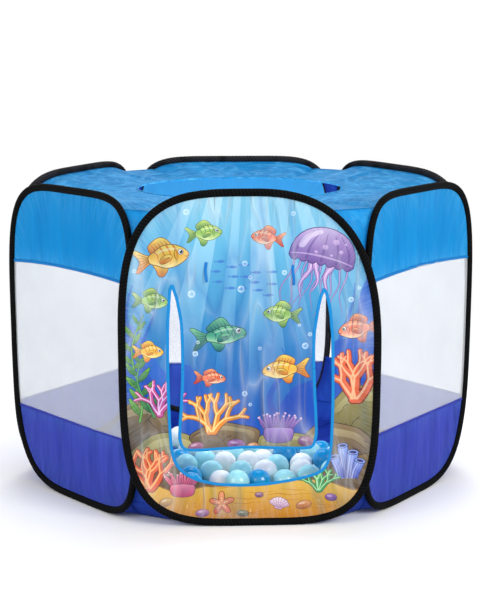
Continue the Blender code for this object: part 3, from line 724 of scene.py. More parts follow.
def panelGrid(panel, low, high, spacing):
    # rows run from the low seam to the high one, and each row spans the loop at its height
    inset = bandLook["inset"]
    edge = panel["halfHeight"] - inset
    rows = max(4, int((high(0.0) - low(0.0)) / spacing))
    columns = int(2 * panel["halfWidth"] / spacing)
    share = np.linspace(0, 1, rows)
    if high(0.0) > edge * 0.9:  # closer rows where the loop turns in
        share = 1 - (1 - share) ** 1.5
    if low(0.0) < -edge * 0.9:
        share = share ** 1.5
    v, u = np.meshgrid(share, np.linspace(0, 1, columns), indexing="ij")
    x = (2 * u - 1) * panel["halfWidth"]
    for _ in range(3):  # the height of a seam hangs on x, and the loop's width on the height
        y = low(x) + v * (high(x) - low(x))
        x = edgeX(panel, y, -1, inset) * (1 - u) + edgeX(panel, y, 1, inset) * u
    return x, y


def clothSwell(panel, x, y, seed, amount):
    # wrinkles: upright folds that wander sideways, finer ones and a billow, all fading at the loop
    width, length, reach = bandLook["wander"]
    aside = reach * smoothNoise(x / width, y / length, seed)
    swell = foldsOf(x + aside, y, bandLook["longFolds"], seed + 1)
    swell = swell + foldsOf(x, y, bandLook["otherFolds"], seed + 2)
    inside = (1 - (x / panel["halfWidth"]) ** 4) * (1 - (y / panel["halfHeight"]) ** 4)
    return np.clip(inside, 0, 1) * amount * swell


def addSheet(name, panel, grid, swell, material, node, thickness, seam=None):
    # cloth on a grid in the panel's plane, swelling out of it, held by the loop all round
    x, y = grid
    points = inWorld(panel, x, y, swell)
    fields = {"gather": gatherField(panel, x, y)}
    if seam:
        away = gatherLook["squeeze"] * np.abs(y - seam(x))
        fields["seam"] = np.stack([x, 0 * x + panel["outward"][0] * 5, away], axis=-1)
    data = gridMesh(name, points, np.stack([x, y], axis=-1), perPoint=fields)
    made = newPiece(name, data, material, "tent", [node])
    giveThickness(made, thickness)
    area = surfaceArea(inWorld(panel, x, y))


def addHem(name, panel, seam, material):
    # a hem along a seam: a low strip, proud of the cloth on its outside by depth * (1 - across^4)
    look = bandLook
    x = np.linspace(-1, 1, look["hemStations"])
    y = seam(x * panel["halfWidth"])
    left = edgeX(panel, y[:1], -1, 0.002)[0]
    right = edgeX(panel, y[-1:], 1, 0.002)[0]
    x = left + (x + 1) / 2 * (right - left)
    run, across = np.meshgrid(x, np.linspace(-1, 1, 7), indexing="ij")
    y = seam(x)[:, None] + 0 * across
    lift = look["hemLift"] + look["hemDepth"] * (1 - across ** 4)
    swell = clothSwell(panel, run, y, seedOf[panel["name"]], look["wrinkle"])
    offset = across * look["hemWidth"] / 2
    points = inWorld(panel, run, y + offset, swell * 0.4 + lift)
    data = gridMesh(name, points, np.stack([run, offset], axis=-1), flip=True)
    return giveThickness(newPiece(name, data, material, "tent", []), look["hemThickness"])


def addSidePanel(panel):
    look = bandLook
    name = panel["name"]
    seed = seedOf[name]
    edge = (panel["halfHeight"] - look["inset"]) * look["edgeShare"]

    def topY(x):
        return edge + 0.0 * x

    def bottomY(x):
        return -edge + 0.0 * x

    def upperY(x):
        return upperSeamY(panel, x)

    def lowerY(x):
        return lowerSeamY(panel, x)

    upperHem = addHem(name + "_upper_hem", panel, upperY, seamTape)
    lowerHem = addHem(name + "_lower_hem", panel, lowerY, violetCloth)
    grid = panelGrid(panel, upperY, topY, look["spacing"])
    swell = clothSwell(panel, *grid, seed, look["wrinkle"])
    addSheet(name + "_sky_band", panel, grid, swell, skyCloth, name + "_upper_band",
             look["thickness"], upperY)
    x, y = grid = panelGrid(panel, lowerY, upperY, look["netSpacing"])
    billow = foldsOf(x, y, look["netFolds"], seed + 9) + look["netBillow"]
    billow = billow * np.clip(1 - (x / panel["halfWidth"]) ** 2, 0, 1)
    addSheet(name + "_net", panel, grid, billow, whiteNet, name + "_mesh_window",
             look["netThickness"])
    grid = panelGrid(panel, bottomY, lowerY, look["spacing"])
    swell = clothSwell(panel, *grid, seed + 5, look["wrinkle"] * 1.2)
    addSheet(name + "_violet_band", panel, grid, swell, violetBand, name + "_lower_band",
             look["thickness"], lowerY)


seedOf = {panel["name"]: 100 + 20 * number for number, panel in enumerate(panels)}
for panel in panels[1:]:
    addSidePanel(panel)
print("side panels ready")


# Corners, roof and floor

gussetLook = {
    "reach": 0.0075,
    "narrow": 0.0240,
    "rows": 46,
    "columns": 26,
    "folds": ((1 / 7, 0.05, 0.00352),),  # their width as a share of the cloth's
    "fineFolds": ((0.010, 0.022, 0.00176),),
    "sag": 0.04,  # a share of the cloth's width
    "thickness": 0.0006,
}
cornerNames = ["front_right", "right", "back_right", "back_left", "left", "front_left"]


def standPoint(panel, y, side, inward):
    # points on the loop's edge at heights y, moved inwards until they clear the binding
    step = 0.002
    here = inWorld(panel, edgeX(panel, y, side), y)
    way = inWorld(panel, edgeX(panel, y + step, side), y + step)
    way = unit(way - inWorld(panel, edgeX(panel, y - step, side), y - step))
    sink = np.sqrt(np.clip(1 - (way * inward).sum(axis=-1) ** 2, 0.05, 1))
    return here + inward * (gussetLook["reach"] / sink)[..., None]


def gussetEdges(first, second, z):
    # the two edges of a corner cloth at heights z, and the room between the loops there
    yFirst = z - first["middle"][2]
    ySecond = z - second["middle"][2]
    here = inWorld(first, edgeX(first, yFirst, 1), yFirst)
    there = inWorld(second, edgeX(second, ySecond, -1), ySecond)
    across = there - here
    inward = unit(np.stack([-across[:, 1], across[:, 0], np.zeros(len(z))], axis=-1))
    facing = np.sign((inward * here * np.array([1, 1, 0])).sum(axis=-1))
    inward = -inward * facing[:, None]
    left = standPoint(first, yFirst, 1, inward)
    right = standPoint(second, ySecond, -1, inward)
    return left, right, np.linalg.norm(across, axis=-1)


def addGusset(number, upper):
    # a corner cloth: straight lines between two loops' edges, with a sagging, folded hump on each
    look = gussetLook
    first = panels[number]
    second = panels[(number + 1) % 6]
    seam = ring["roofSeam"] if upper else ring["floorSeam"]
    middle = ring["sideHeight"] / 2
    levels = np.linspace(seam, middle, 400)
    wide = gussetEdges(first, second, levels)[2] > look["narrow"]
    tip = levels[np.argmin(wide)] if not wide.all() else middle
    z = np.linspace(seam, tip, look["rows"])
    left, right, _ = gussetEdges(first, second, z)
    share = np.linspace(0, 1, look["columns"])
    points = left[:, None] * (1 - share[:, None]) + right[:, None] * share[:, None]
    width = np.linalg.norm(right - left, axis=-1)
    u = share[None] * width[:, None]
    v = np.abs(z - seam)[:, None] + 0 * u
    normal = unit(np.cross(unit(right - left), zUp))
    seed = 300 + number * 9 + (4 if upper else 0)
    folds = foldsOf(share[None] + 0 * v, v, look["folds"], seed)
    folds = folds + foldsOf(u, v, look["fineFolds"], seed + 1)
    swell = np.sin(share * np.pi)[None] * (folds - look["sag"] * width[:, None])
    points = points + swell[..., None] * normal[:, None]
    end = "upper" if upper else "lower"
    name = cornerNames[number] + "_" + end + "_corner_cloth"
    data = gridMesh(name, points, np.stack([u, v], axis=-1), flip=not upper)
    # painted shade: the upper corner cloths at the back take the dark floor cloth, as they are seen in
    # shade, and the lower ones take it too
    pale = upper and "back" not in cornerNames[number]
    made = newPiece(name, data, gussetCloth if pale else floorCloth, "tent",
                    [cornerNames[number] + "_" + end + "_gusset"])
    giveThickness(made, look["thickness"])


for number in range(6):
    addGusset(number, True)
    addGusset(number, False)


def ringEdge(seamZ, upper, perPanel, reach, leanDegrees):
    # the outer edge of the roof or the floor: along each loop's inner side, straight at corners
    lean = math.radians(leanDegrees)
    share = np.linspace(0, 1, 14)[1:-1, None]
    edge = []
    for number, panel in enumerate(panels):
        turn = np.linspace(0, np.pi, 4001) * (1 if upper else -1)
        x, y = loopPoint(panel, turn[::-1])
        keep = (y > seamZ - panel["middle"][2]) == upper
        line = evenPoints(np.stack([x[keep], y[keep]], axis=-1), perPanel)[0]
        way = np.gradient(line, axis=0)
        way = unit(way[:, :1] * panel["along"] + way[:, 1:] * zUp)
        push = -panel["outward"] * math.cos(lean) - zUp * math.sin(lean)
        sink = np.sqrt(1 - (way @ push) ** 2)
        line = inWorld(panel, *line.T) + push * (reach / sink)[:, None]
        z = np.array([seamZ])
        start = gussetEdges(panels[number - 1], panel, z)[1]
        end, after, _ = gussetEdges(panel, panels[(number + 1) % 6], z)
        edge.append(np.concatenate([start, line, end, end * (1 - share) + after * share]))
    return np.concatenate(edge)


roofLook = {
    "reach": 0.0082,
    "lean": 48,
    "rows": 54,
    "perPanel": 84,
    "rimHalfWidth": 0.250,
    "rimHalfDepth": 0.222,
    "rimCentreY": 0.032,
    "rimZ": 0.690,
    "sag": 0.006,
    # folds: their width in turns of the rim, length from edge to rim and height
    "folds": ((1 / 96, 1 / 1.4, 0.00468), (1 / 249.6, 1 / 3, 0.00208)),
    "hemPinch": ((1 / 22, 1 / 0.8, 0.28),),
    "thickness": 0.0006,
    "hemRadius": 0.0030,
}


def addRoof():
    # the sheet runs from the loops' tops to the oval rim, with folds that fan out from the rim
    look = roofLook
    edge = ringEdge(ring["roofSeam"], True, look["perPanel"], look["reach"], look["lean"])
    centreY = look["rimCentreY"]
    turn = np.arctan2((edge[:, 1] - centreY) / look["rimHalfDepth"], edge[:, 0] / look["rimHalfWidth"])
    rim = np.stack([
        look["rimHalfWidth"] * np.cos(turn),
        centreY + look["rimHalfDepth"] * np.sin(turn),
        look["rimZ"] + 0 * turn,
    ], axis=-1)
    share = np.linspace(0, 1, look["rows"])[:, None]
    points = edge[None] * (1 - share[..., None]) + rim[None] * share[..., None]
    folds = foldsOf(turn[None] / (2 * np.pi) + 0 * share, share + 0 * turn, look["folds"], 41)
    points[..., 2] += np.sin(share * np.pi) ** 0.7 * (folds - look["sag"])
    span = np.linalg.norm(rim - edge, axis=-1)[None]
    uv = np.stack([runAlong(rim)[None] + 0 * share, share * span], axis=-1)
    data = gridMesh("roof_sheet", points, uv, wrapColumns=True, flip=True)
    made = newPiece("roof_sheet", data, roofCloth, "tent", ["roof"])
    giveThickness(made, look["thickness"])

    # the hem of the opening: a ring whose section swells and shrinks
    turns = np.linspace(0, 2 * np.pi, 420, endpoint=False)
    sections = np.linspace(0, 2 * np.pi, 12, endpoint=False)
    turnGrid, sectionGrid = np.meshgrid(turns, sections, indexing="ij")
    pinch = look["hemRadius"] * (1 + foldsOf(turnGrid, sectionGrid, look["hemPinch"], 5))
    side = pinch * np.cos(sectionGrid)
    points = np.stack([
        (look["rimHalfWidth"] + side) * np.cos(turnGrid),
        centreY + (look["rimHalfDepth"] + side) * np.sin(turnGrid),
        look["rimZ"] + pinch * 0.8 * np.sin(sectionGrid),
    ], axis=-1)
    uv = np.stack([turnGrid * 0.24, sectionGrid * look["hemRadius"]], axis=-1)
    data = gridMesh("roof_rim", points, uv, wrapRows=True, wrapColumns=True, flip=True)
    newPiece("roof_rim", data, roofCloth, "tent", ["roof_hem"])


floorLook = {
    "perPanel": 70,
    "reach": 0.0088,
    "lean": 40,
    "rows": 26,
    "lowest": 0.0015,
    "turnUp": 0.040,
    # ripples: their width as an angle seen from the middle, length inwards and height
    "ripples": ((1 / 9, 0.12, 0.0016), (1 / 26, 0.05, 0.00096)),
    "swell": 0.00128,
    "thickness": 0.0008,
}


def addFloor():
    # a sheet turned up at its edge: rows run from the edge to the foot, then in to the middle
    look = floorLook
    edge = ringEdge(ring["floorSeam"], False, look["perPanel"], look["reach"], look["lean"])
    inward = -edge * np.array([1, 1, 0])
    span = np.linalg.norm(inward, axis=-1, keepdims=True)
    share = np.linspace(0, 1, look["rows"])[:, None]
    distance = share ** 1.4 * span[:, 0][None] * 0.9995
    rise = np.clip(1 - distance / look["turnUp"], 0, 1)
    points = edge[None] + (inward / span)[None] * distance[..., None]
    turn = np.arctan2(edge[:, 1], edge[:, 0])[None] + 0 * distance
    ripple = foldsOf(turn, distance, look["ripples"], 61) + look["swell"]
    rippled = np.clip(distance / 0.05, 0, 1) * np.clip((1 - share) * 3, 0, 1)
    height = (edge[:, 2][None] - look["lowest"]) * rise ** 1.5
    points[..., 2] = look["lowest"] + height + ripple * rippled
    uv = np.stack([runAlong(edge)[None] + 0 * distance, distance], axis=-1)
    data = gridMesh("floor_sheet", points, uv, wrapColumns=True)
    made = newPiece("floor_sheet", data, floorCloth, "tent", ["floor"])
    giveThickness(made, look["thickness"])


addRoof()
addFloor()
print("corners, roof and floor ready")


# The print: painted shapes, later ones on top

canvas = []


def paint(outline, *colours, radial=False):
    # a filled shape; its colours run evenly from its top down, or from its middle out, alpha last
    stops = np.array([(*colour, 1.0) if len(colour) == 3 else colour for colour in colours], float)
    canvas.append({"outline": np.asarray(outline, float), "stops": stops, "radial": radial})


def shade(shape, points):
    # the colour and the alpha of a shape at points
    low, high = shape["outline"].min(axis=0), shape["outline"].max(axis=0)
    size = np.maximum(high - low, 1e-6)
    if shape["radial"]:
        share = np.linalg.norm((points - (low + high) / 2) / (size / 2), axis=-1)
    else:
        share = (high[1] - points[..., 1]) / size[1]
    place = np.clip(share, 0, 1) * (len(shape["stops"]) - 1)
    steps = np.arange(len(shape["stops"]))
    return np.stack([np.interp(place, steps, channel) for channel in shape["stops"].T], axis=-1)


def smoothLoop(controls, count=4, closed=True):
    # Catmull-Rom: 0.5 (2 p1 + (p2 - p0) t + (2 p0 - 5 p1 + 4 p2 - p3) t^2 + (3 p1 - p0 - 3 p2 + p3) t^3)
    points = np.asarray(controls, float)
    if not closed:
        points = np.concatenate([2 * points[:1] - points[1:2], points, 2 * points[-1:] - points[-2:-1]])
    p0, p1, p2, p3 = (np.roll(points, -shift, axis=0)[:, None] for shift in (-1, 0, 1, 2))
    if not closed:
        p0, p1, p2, p3 = (part[1:-2] for part in (p0, p1, p2, p3))
    t = (np.arange(count) / count)[None, :, None]
    curve = 0.5 * (2 * p1 + (p2 - p0) * t + (2 * p0 - 5 * p1 + 4 * p2 - p3) * t ** 2
                   + (3 * p1 - p0 - 3 * p2 + p3) * t ** 3)
    curve = curve.reshape(-1, 2)
    return curve if closed else np.concatenate([curve, points[-2:-1]])


def normalsOf(points, closed):
    # unit vectors to the right of the way along
    if closed:
        way = np.roll(points, -1, axis=0) - np.roll(points, 1, axis=0)
    else:
        way = np.gradient(points, axis=0)
    way = way / np.maximum(np.linalg.norm(way, axis=1, keepdims=True), 1e-9)
    return np.stack([way[:, 1], -way[:, 0]], axis=-1)


def leftTurning(outline):
    # the same outline, run anticlockwise
    area = np.sum(outline[:, 0] * np.roll(outline[:, 1], -1) - np.roll(outline[:, 0], -1) * outline[:, 1])
    return outline if area > 0 else outline[::-1]


def grow(outline, amount):
    # the outline moved outwards
    outline = leftTurning(outline)
    return outline + normalsOf(outline, True) * amount


def ribbon(path, widths, capped=True):
    # a stroke along a path: its widths run evenly from its start to its end, both ends round
    path = smoothLoop(path, 3, closed=False)
    widths = np.interp(np.linspace(0, 1, len(path)), np.linspace(0, 1, len(widths)), widths) / 2
    side = normalsOf(path, False) * widths[:, None]
    if not capped:
        return np.concatenate([path + side, (path - side)[::-1]])
    turn = np.array([0.25, 0.5, 0.75])[:, None] * np.pi
    ahead = np.array([-1, 1]) * side[-1][::-1]
    behind = np.array([1, -1]) * side[0][::-1]
    tip = path[-1] + side[-1] * np.cos(turn) + ahead * np.sin(turn)
    tail = path[0] - side[0] * np.cos(turn) + behind * np.sin(turn)
    return np.concatenate([path + side, tip, (path - side)[::-1], tail])


def oval(x, z, width, height=None, turn=0.0, count=15):
    # x = w/2 cos, z = h/2 sin, turned
    angle = np.linspace(0, 2 * np.pi, count, endpoint=False)
    points = np.stack([np.cos(angle) * width / 2, np.sin(angle) * (height or width) / 2], axis=-1)
    c, s = math.cos(turn), math.sin(turn)
    return points @ np.array([[c, s], [-s, c]]) + (x, z)


def placer(x, z, size, turn=0.0, mirror=1):
    # moves a motif's own points onto the cloth: mirrored, turned, sized, placed
    c, s = math.cos(math.radians(turn)), math.sin(math.radians(turn))

    def move(points):
        points = np.asarray(points, float) * (mirror, 1)
        return points @ np.array([[c, s], [-s, c]]) * size + (x, z)
    return move


def inked(outline, ink, width, *colours):
    # a shape with a line of ink round it
    paint(grow(outline, width), ink)
    paint(outline, *colours)


def bubble(x, z, size):
    # a clear middle, a pale rim and two glints
    paint(oval(x, z, size), (235, 250, 255, 0.10), (215, 240, 255, 0.30), (240, 252, 255, 0.85),
          radial=True)
    paint(oval(x - size * 0.2, z + size * 0.2, size * 0.26, size * 0.16, 0.8, 10), (255, 255, 255, 0.9))
    paint(oval(x + size * 0.22, z - size * 0.24, size * 0.14, size * 0.10, 0.8, 8), (255, 255, 255, 0.5))


def fish(x, z, size, turn, mirror, high, body, belly, stripe, ink, deep=0.52, spiky=0.0):
    # a plain striped fish, its nose at (1, 0) and its tail at (-1.5, 0) before it is placed
    move = placer(x, z, size, turn, mirror)
    line = 0.028 * size
    tail = smoothLoop([(-0.72, 0.12), (-1.0, 0.26), (-1.38, 0.52), (-1.55, 0.50), (-1.36, 0.20),
                       (-1.28, 0.0), (-1.36, -0.22), (-1.52, -0.50), (-1.34, -0.50), (-0.98, -0.26),
                       (-0.72, -0.12)])
    back = smoothLoop([(0.30, deep * 0.90), (0.05, deep * 1.62 + spiky),
                       (-0.30, deep * 1.75 + spiky * 0.5), (-0.72, deep * 1.28), (-0.78, deep * 0.90),
                       (-0.62, deep * 0.45), (-0.1, deep * 0.80)])
    under = smoothLoop([(-0.05, -deep * 0.86), (-0.28, -deep * 1.62 - spiky * 0.5), (-0.52, -deep * 1.58),
                        (-0.60, -deep * 1.0), (-0.66, -deep * 0.42)])
    for fin in (tail, back, under):
        inked(move(fin), ink, line, high, stripe)
    for spread in (-0.34, -0.17, 0.0, 0.17, 0.34):
        paint(move(ribbon([(-0.86, spread * 0.3), (-1.32, spread)], (0.05, 0.02))), (*ink, 0.55))
    for share in (0.0, 0.25, 0.5, 0.75, 1.0):
        foot = (0.16 - 0.62 * share, deep * (0.90 - 0.25 * share))
        top = (-0.02 - 0.62 * share, deep * (1.55 - 0.28 * share) + spiky * (0.9 - 0.6 * share))
        paint(move(ribbon([foot, top], (0.05, 0.015))), (*ink, 0.5))
    hull = smoothLoop([(1.0, -0.02), (0.90, 0.16), (0.68, deep * 0.68), (0.30, deep), (-0.15, deep * 0.98),
                       (-0.52, deep * 0.62), (-0.82, 0.15), (-0.82, -0.15), (-0.52, -deep * 0.60),
                       (-0.15, -deep * 0.94), (0.30, -deep * 0.94), (0.68, -deep * 0.66), (0.90, -0.20)])
    inked(move(hull), ink, line * 1.2, high, body, belly)
    upper = hull[hull[:, 1] > 0]
    lower = hull[hull[:, 1] <= 0]
    upper, lower = upper[np.argsort(upper[:, 0])], lower[np.argsort(lower[:, 0])]
    for number in range(4):  # stripes, bowed towards the nose
        left = 0.30 - 0.30 * number
        wide = 0.115 - 0.012 * number
        levels = np.linspace(1, -0.72, 11)
        bow = 0.16 * (1 - levels ** 2)
        edge = []
        for offset in (0, wide):
            column = left + bow + offset * (0.35 + 0.65 * (levels + 0.72) / 1.72)
            top, low = np.interp(column, *upper.T), np.interp(column, *lower.T)
            rise = np.where(levels > 0, top * levels, -low * levels)
            edge.append(np.stack([column, rise], axis=-1) * 0.985)
        paint(move(np.concatenate([edge[0], edge[1][::-1]])), (*stripe, 0.95), (*stripe, 0.35))
    shine = smoothLoop([(0.62, deep * 0.48), (0.30, deep * 0.74), (-0.20, deep * 0.70),
                        (-0.50, deep * 0.38), (-0.16, deep * 0.50), (0.28, deep * 0.52)])
    paint(move(shine), (255, 255, 235, 0.42))
    gill = [(0.44, 0.30 * deep / 0.5), (0.34, 0.04), (0.42, -0.24)]
    paint(move(ribbon(gill, (0.02, 0.05, 0.02))), (*ink, 0.65))
    fin = smoothLoop([(0.22, 0.02), (-0.02, 0.08), (-0.30, -0.06), (-0.36, -0.26), (-0.14, -0.28),
                      (0.14, -0.16)])
    inked(move(fin), ink, line * 0.8, high, stripe)
    for drop in (-0.02, -0.10, -0.18):
        paint(move(ribbon([(0.12, -0.05 + drop * 0.2), (-0.24, drop - 0.02)], (0.03, 0.012))), (*ink, 0.5))
    paint(move(ribbon([(0.99, -0.08), (0.90, -0.13), (0.82, -0.11)], (0.02, 0.035, 0.02))), ink)
    eye = (0.66, 0.12)
    paint(move(oval(*eye, 0.27, 0.30)), ink)
    paint(move(oval(*eye, 0.225, 0.255)), (255, 255, 250), (225, 235, 230))
    paint(move(oval(eye[0] + 0.02, eye[1] - 0.005, 0.15, 0.18, count=14)), (45, 70, 80), (20, 30, 35))
    paint(move(oval(eye[0] - 0.01, eye[1] + 0.05, 0.055, 0.06, count=9)), (255, 255, 255))
    paint(move(oval(eye[0] + 0.05, eye[1] - 0.045, 0.03, 0.03, count=7)), (255, 255, 255, 0.8))


def smallFish(x, z, size, colour):
    # a far fish: one plain outline
    move = placer(x, z, size)
    paint(move(smoothLoop([(1, 0), (0.5, 0.26), (-0.2, 0.28), (-0.8, 0.06), (-1.25, 0.34), (-1.1, 0.0),
                           (-1.25, -0.32), (-0.8, -0.06), (-0.2, -0.26), (0.5, -0.22)])), colour)


def jellyfish(x, z, size, turn):
    # thin feelers, three frilled arms, then a lobed bell over them
    move = placer(x, z, size, turn)
    ink = (86, 66, 132)
    rng = np.random.default_rng(5)
    for number, foot in enumerate(np.linspace(-0.82, 0.82, 9)):
        reach = 1.5 + 0.5 * rng.random()
        down = np.linspace(0, reach, 9)
        sway = foot * (1 + 0.10 * down) + 0.09 * np.sin(down * 4.6 + number * 1.7) * np.sqrt(down)
        path = np.stack([sway, -0.02 - down], axis=-1)
        paint(move(ribbon(path, (0.075, 0.05, 0.015))), (*ink, 0.75))
        paint(move(ribbon(path, (0.040, 0.025, 0.006))), (196, 170, 226, 0.9))
    for number, foot in enumerate((-0.36, 0.34, -0.05)):
        down = np.linspace(0, 1.25 - 0.12 * number, 12)
        sway = foot + 0.10 * np.sin(down * 5.2 + number * 2.1)
        path = np.stack([sway, 0.06 - down], axis=-1)
        frill = 0.20 + 0.05 * np.cos(np.arange(12) * 2.4)
        fall = np.linspace(1, 0.15, 12)
        paint(move(ribbon(path, (frill + 0.05) * fall)), (*ink, 0.9))
        paint(move(ribbon(path, frill * fall)), (214, 178, 226), (160, 124, 196))
        paint(move(ribbon(path, 0.06 * fall)), (240, 214, 240, 0.8))
    arc = np.linspace(0, np.pi, 15)
    dome = np.stack([np.cos(arc) * (1.0 + 0.04 * np.sin(arc)), 1.02 * np.sin(arc) ** 0.85], axis=-1)
    lobes = np.linspace(-1, 1, 31)[1:-1]
    skirt = np.stack([lobes * 0.97, -0.10 * np.abs(np.sin((lobes + 1) * np.pi * 3.5)) - 0.02], axis=-1)
    bell = np.concatenate([dome, skirt])
    inked(move(bell), ink, 0.030 * size, (206, 184, 226), (150, 122, 188), (112, 84, 156))
    for foot in (-0.72, -0.40, 0.0, 0.40, 0.72):
        path = [(foot * 1.16, 0.02), (foot * 1.06, 0.42), (foot * 0.58, 0.86)]
        paint(move(ribbon(path, (0.09, 0.07, 0.02))), (92, 68, 140, 0.45))
    paint(move(smoothLoop([(-0.80, 0.34), (-0.62, 0.70), (-0.24, 0.92), (-0.16, 0.84), (-0.46, 0.62),
                           (-0.62, 0.30)])), (255, 245, 255, 0.55))
    for across, up, wide in ((0.30, 0.66, 0.17), (0.52, 0.40, 0.12), (0.02, 0.44, 0.15),
                             (-0.22, 0.24, 0.10), (0.26, 0.24, 0.08), (0.60, 0.66, 0.07)):
        paint(move(oval(across, up, wide * 1.2, wide, count=12)), (232, 205, 240, 0.75),
              (190, 160, 214, 0.75))
    seam = [(-0.95, 0.06), (-0.5, 0.13), (0, 0.15), (0.5, 0.13), (0.95, 0.06)]
    paint(move(ribbon(seam, (0.03, 0.06, 0.03))), (230, 205, 240, 0.6))


def strand(x, z, height, lean, leaves, colour, dark, size, seed):
    # a weed: a swaying stem with pointed leaves on both sides
    rng = np.random.default_rng(seed)
    up = np.linspace(0, 1, 9)
    path = np.stack([x + lean * up + 0.016 * np.sin(up * 5.4 + seed), z + height * up], axis=-1)
    smooth = smoothLoop(path, 6, closed=False)
    for number in range(leaves):
        here = smooth[int((0.08 + 0.9 * number / leaves) * (len(smooth) - 1))]
        side = 1 if number % 2 else -1
        reach = size * (1.15 - 0.5 * number / leaves) * (0.85 + 0.3 * rng.random())
        turn = 38 + 14 * rng.random()
        move = placer(here[0], here[1], reach, turn if side > 0 else -turn, side)
        blade = smoothLoop([(0, -0.03), (0.35, -0.15), (0.75, -0.10), (1.15, 0.10), (0.72, 0.17),
                            (0.3, 0.14), (0, 0.05)])
        inked(move(blade), dark, 0.035 * reach, colour, tuple(0.72 * c for c in colour))
        paint(move(ribbon([(0.05, 0.0), (0.5, 0.01), (0.95, 0.06)], (0.04, 0.03, 0.01))), (*dark, 0.6))
    paint(ribbon(path, (0.0062, 0.0028)), dark)
    paint(ribbon(path, (0.0040, 0.0014)), colour)


def coral(x, z, size, seed, bright, colour, ink, branches, thick):
    # a branching coral: every branch is drawn three times, as ink, flesh and highlight
    rng = np.random.default_rng(seed)
    strokes = []

    def branch(foot, angle, length, width, level):
        bend = angle + rng.uniform(-0.28, 0.28)
        middle = foot + length * 0.5 * np.array([math.cos(angle), math.sin(angle)])
        end = middle + length * 0.5 * np.array([math.cos(bend), math.sin(bend)])
        strokes.append((np.array([foot, middle, end]), width))
        if level:
            for way in (-1, 1):
                branch(end, bend + way * rng.uniform(0.35, 0.62), length * rng.uniform(0.66, 0.82),
                       width * 0.78, level - 1)

    for angle in np.linspace(0.30, 0.70, branches) * np.pi:
        foot = np.array([x + rng.uniform(-0.1, 0.1) * size, z])
        branch(foot, float(angle), size * 0.46, size * thick, 2)
    for spread, paintColour, shift in ((1.32, ink, 0.0), (1.0, colour, 0.0), (0.30, bright, 0.22)):
        for path, width in strokes:
            moved = path + np.array([-shift, shift * 0.4]) * width
            paint(ribbon(moved, (width * spread, width * spread * 0.84)), paintColour)


def boulder(x, z, width, height, seed, light, dark, ink, cracks):
    # a rock: an uneven oval with a lit cap and short cracks
    rng = np.random.default_rng(seed)
    angle = np.linspace(0, 2 * np.pi, 13, endpoint=False)
    reach = 1 + rng.uniform(-0.10, 0.12, 13)
    around = np.stack([np.cos(angle) * reach * width / 2, np.sin(angle) * reach * height / 2], axis=-1)
    outline = smoothLoop(around + (x, z))
    inked(outline, ink, 0.0016, light, dark)
    capTop = around[:7] * (0.86, 0.82)
    capFoot = around[6:0:-1] * (0.6, 0.36) + (0, height * 0.1)
    cap = smoothLoop(np.concatenate([capTop, capFoot]), 3)
    paint(cap + (x, z), (255, 250, 200, 0.34), (255, 250, 200, 0.06))
    for _ in range(cracks):
        start = np.array([x + width * rng.uniform(-0.34, 0.34), z + height * rng.uniform(-0.10, 0.34)])
        way = rng.choice((-1, 1))
        aside = way * rng.uniform(0.02, 0.09, 4) * width
        steps = np.stack([aside, -rng.uniform(0.02, 0.10, 4) * height], axis=-1)
        paint(ribbon(start + np.cumsum(steps, axis=0), (0.0028, 0.0018, 0.0005)), (*ink, 0.55))
    for _ in range(cracks + 2):
        spot = (x + width * rng.uniform(-0.36, 0.36), z + height * rng.uniform(-0.34, 0.30))
        paint(oval(*spot, rng.uniform(0.003, 0.006), rng.uniform(0.0018, 0.003), count=8), (*ink, 0.28))


def pebble(x, z, width, height, turn, light, dark):
    inked(oval(x, z, width, height, turn, 14), (70, 45, 70), 0.0009, light, dark)
    paint(oval(x - width * 0.12, z + height * 0.18, width * 0.45, height * 0.24, turn, 10),
          (255, 255, 255, 0.45))


def starfish(x, z, size, turn, light, dark, ink):
    # five arms: r = size ((0.62 + 0.38 cos 5a)^0.9 + 0.10), with rows of knobs
    angle = np.linspace(0, 2 * np.pi, 60, endpoint=False)
    reach = size * (0.62 + 0.38 * np.cos(5 * angle)) ** 0.9 + size * 0.10
    points = np.stack([np.cos(angle + turn) * reach + x, np.sin(angle + turn) * reach + z], axis=-1)
    inked(points, ink, size * 0.06, light, dark)
    paint((points - (x, z)) * 0.55 + (x, z), (*light, 0.8))
    for arm in range(5):
        way = np.array([math.cos(turn + arm * 2 * math.pi / 5), math.sin(turn + arm * 2 * math.pi / 5)])
        for step, spread in ((0.26, 0.12), (0.48, 0.10), (0.70, 0.07)):
            spot = np.array([x, z]) + way * size * step
            paint(oval(*spot, size * spread, count=8), (255, 240, 190))


def scallop(x, z, size, turn, light, dark, ink):
    # a shell: a fan with a scalloped edge, ribs and growth rings
    move = placer(x, z, size, turn)
    angle = np.linspace(0.12 * np.pi, 0.88 * np.pi, 43)
    edge = 1 + 0.045 * np.abs(np.sin((angle / np.pi - 0.12) / 0.76 * np.pi * 7))
    fan = np.stack([np.cos(angle) * edge * 1.02, np.sin(angle) * edge], axis=-1)
    outline = np.concatenate([fan, [(-0.30, 0.02), (-0.34, -0.12), (0.34, -0.12), (0.30, 0.02)]])
    inked(move(outline), ink, size * 0.045, light, dark)
    for rib in np.linspace(0.16, 0.84, 8) * np.pi:
        tip = (math.cos(rib) * 0.98, math.sin(rib) * 0.96)
        paint(move(ribbon([(tip[0] * 0.16, 0.02), tip], (0.03, 0.055))), (*ink, 0.6))
    for reach in (0.45, 0.72):
        arcs = np.stack([np.cos(angle[::6]) * reach, np.sin(angle[::6]) * reach], axis=-1)
        paint(move(ribbon(arcs, (0.02, 0.05, 0.02))), (255, 255, 255, 0.35))


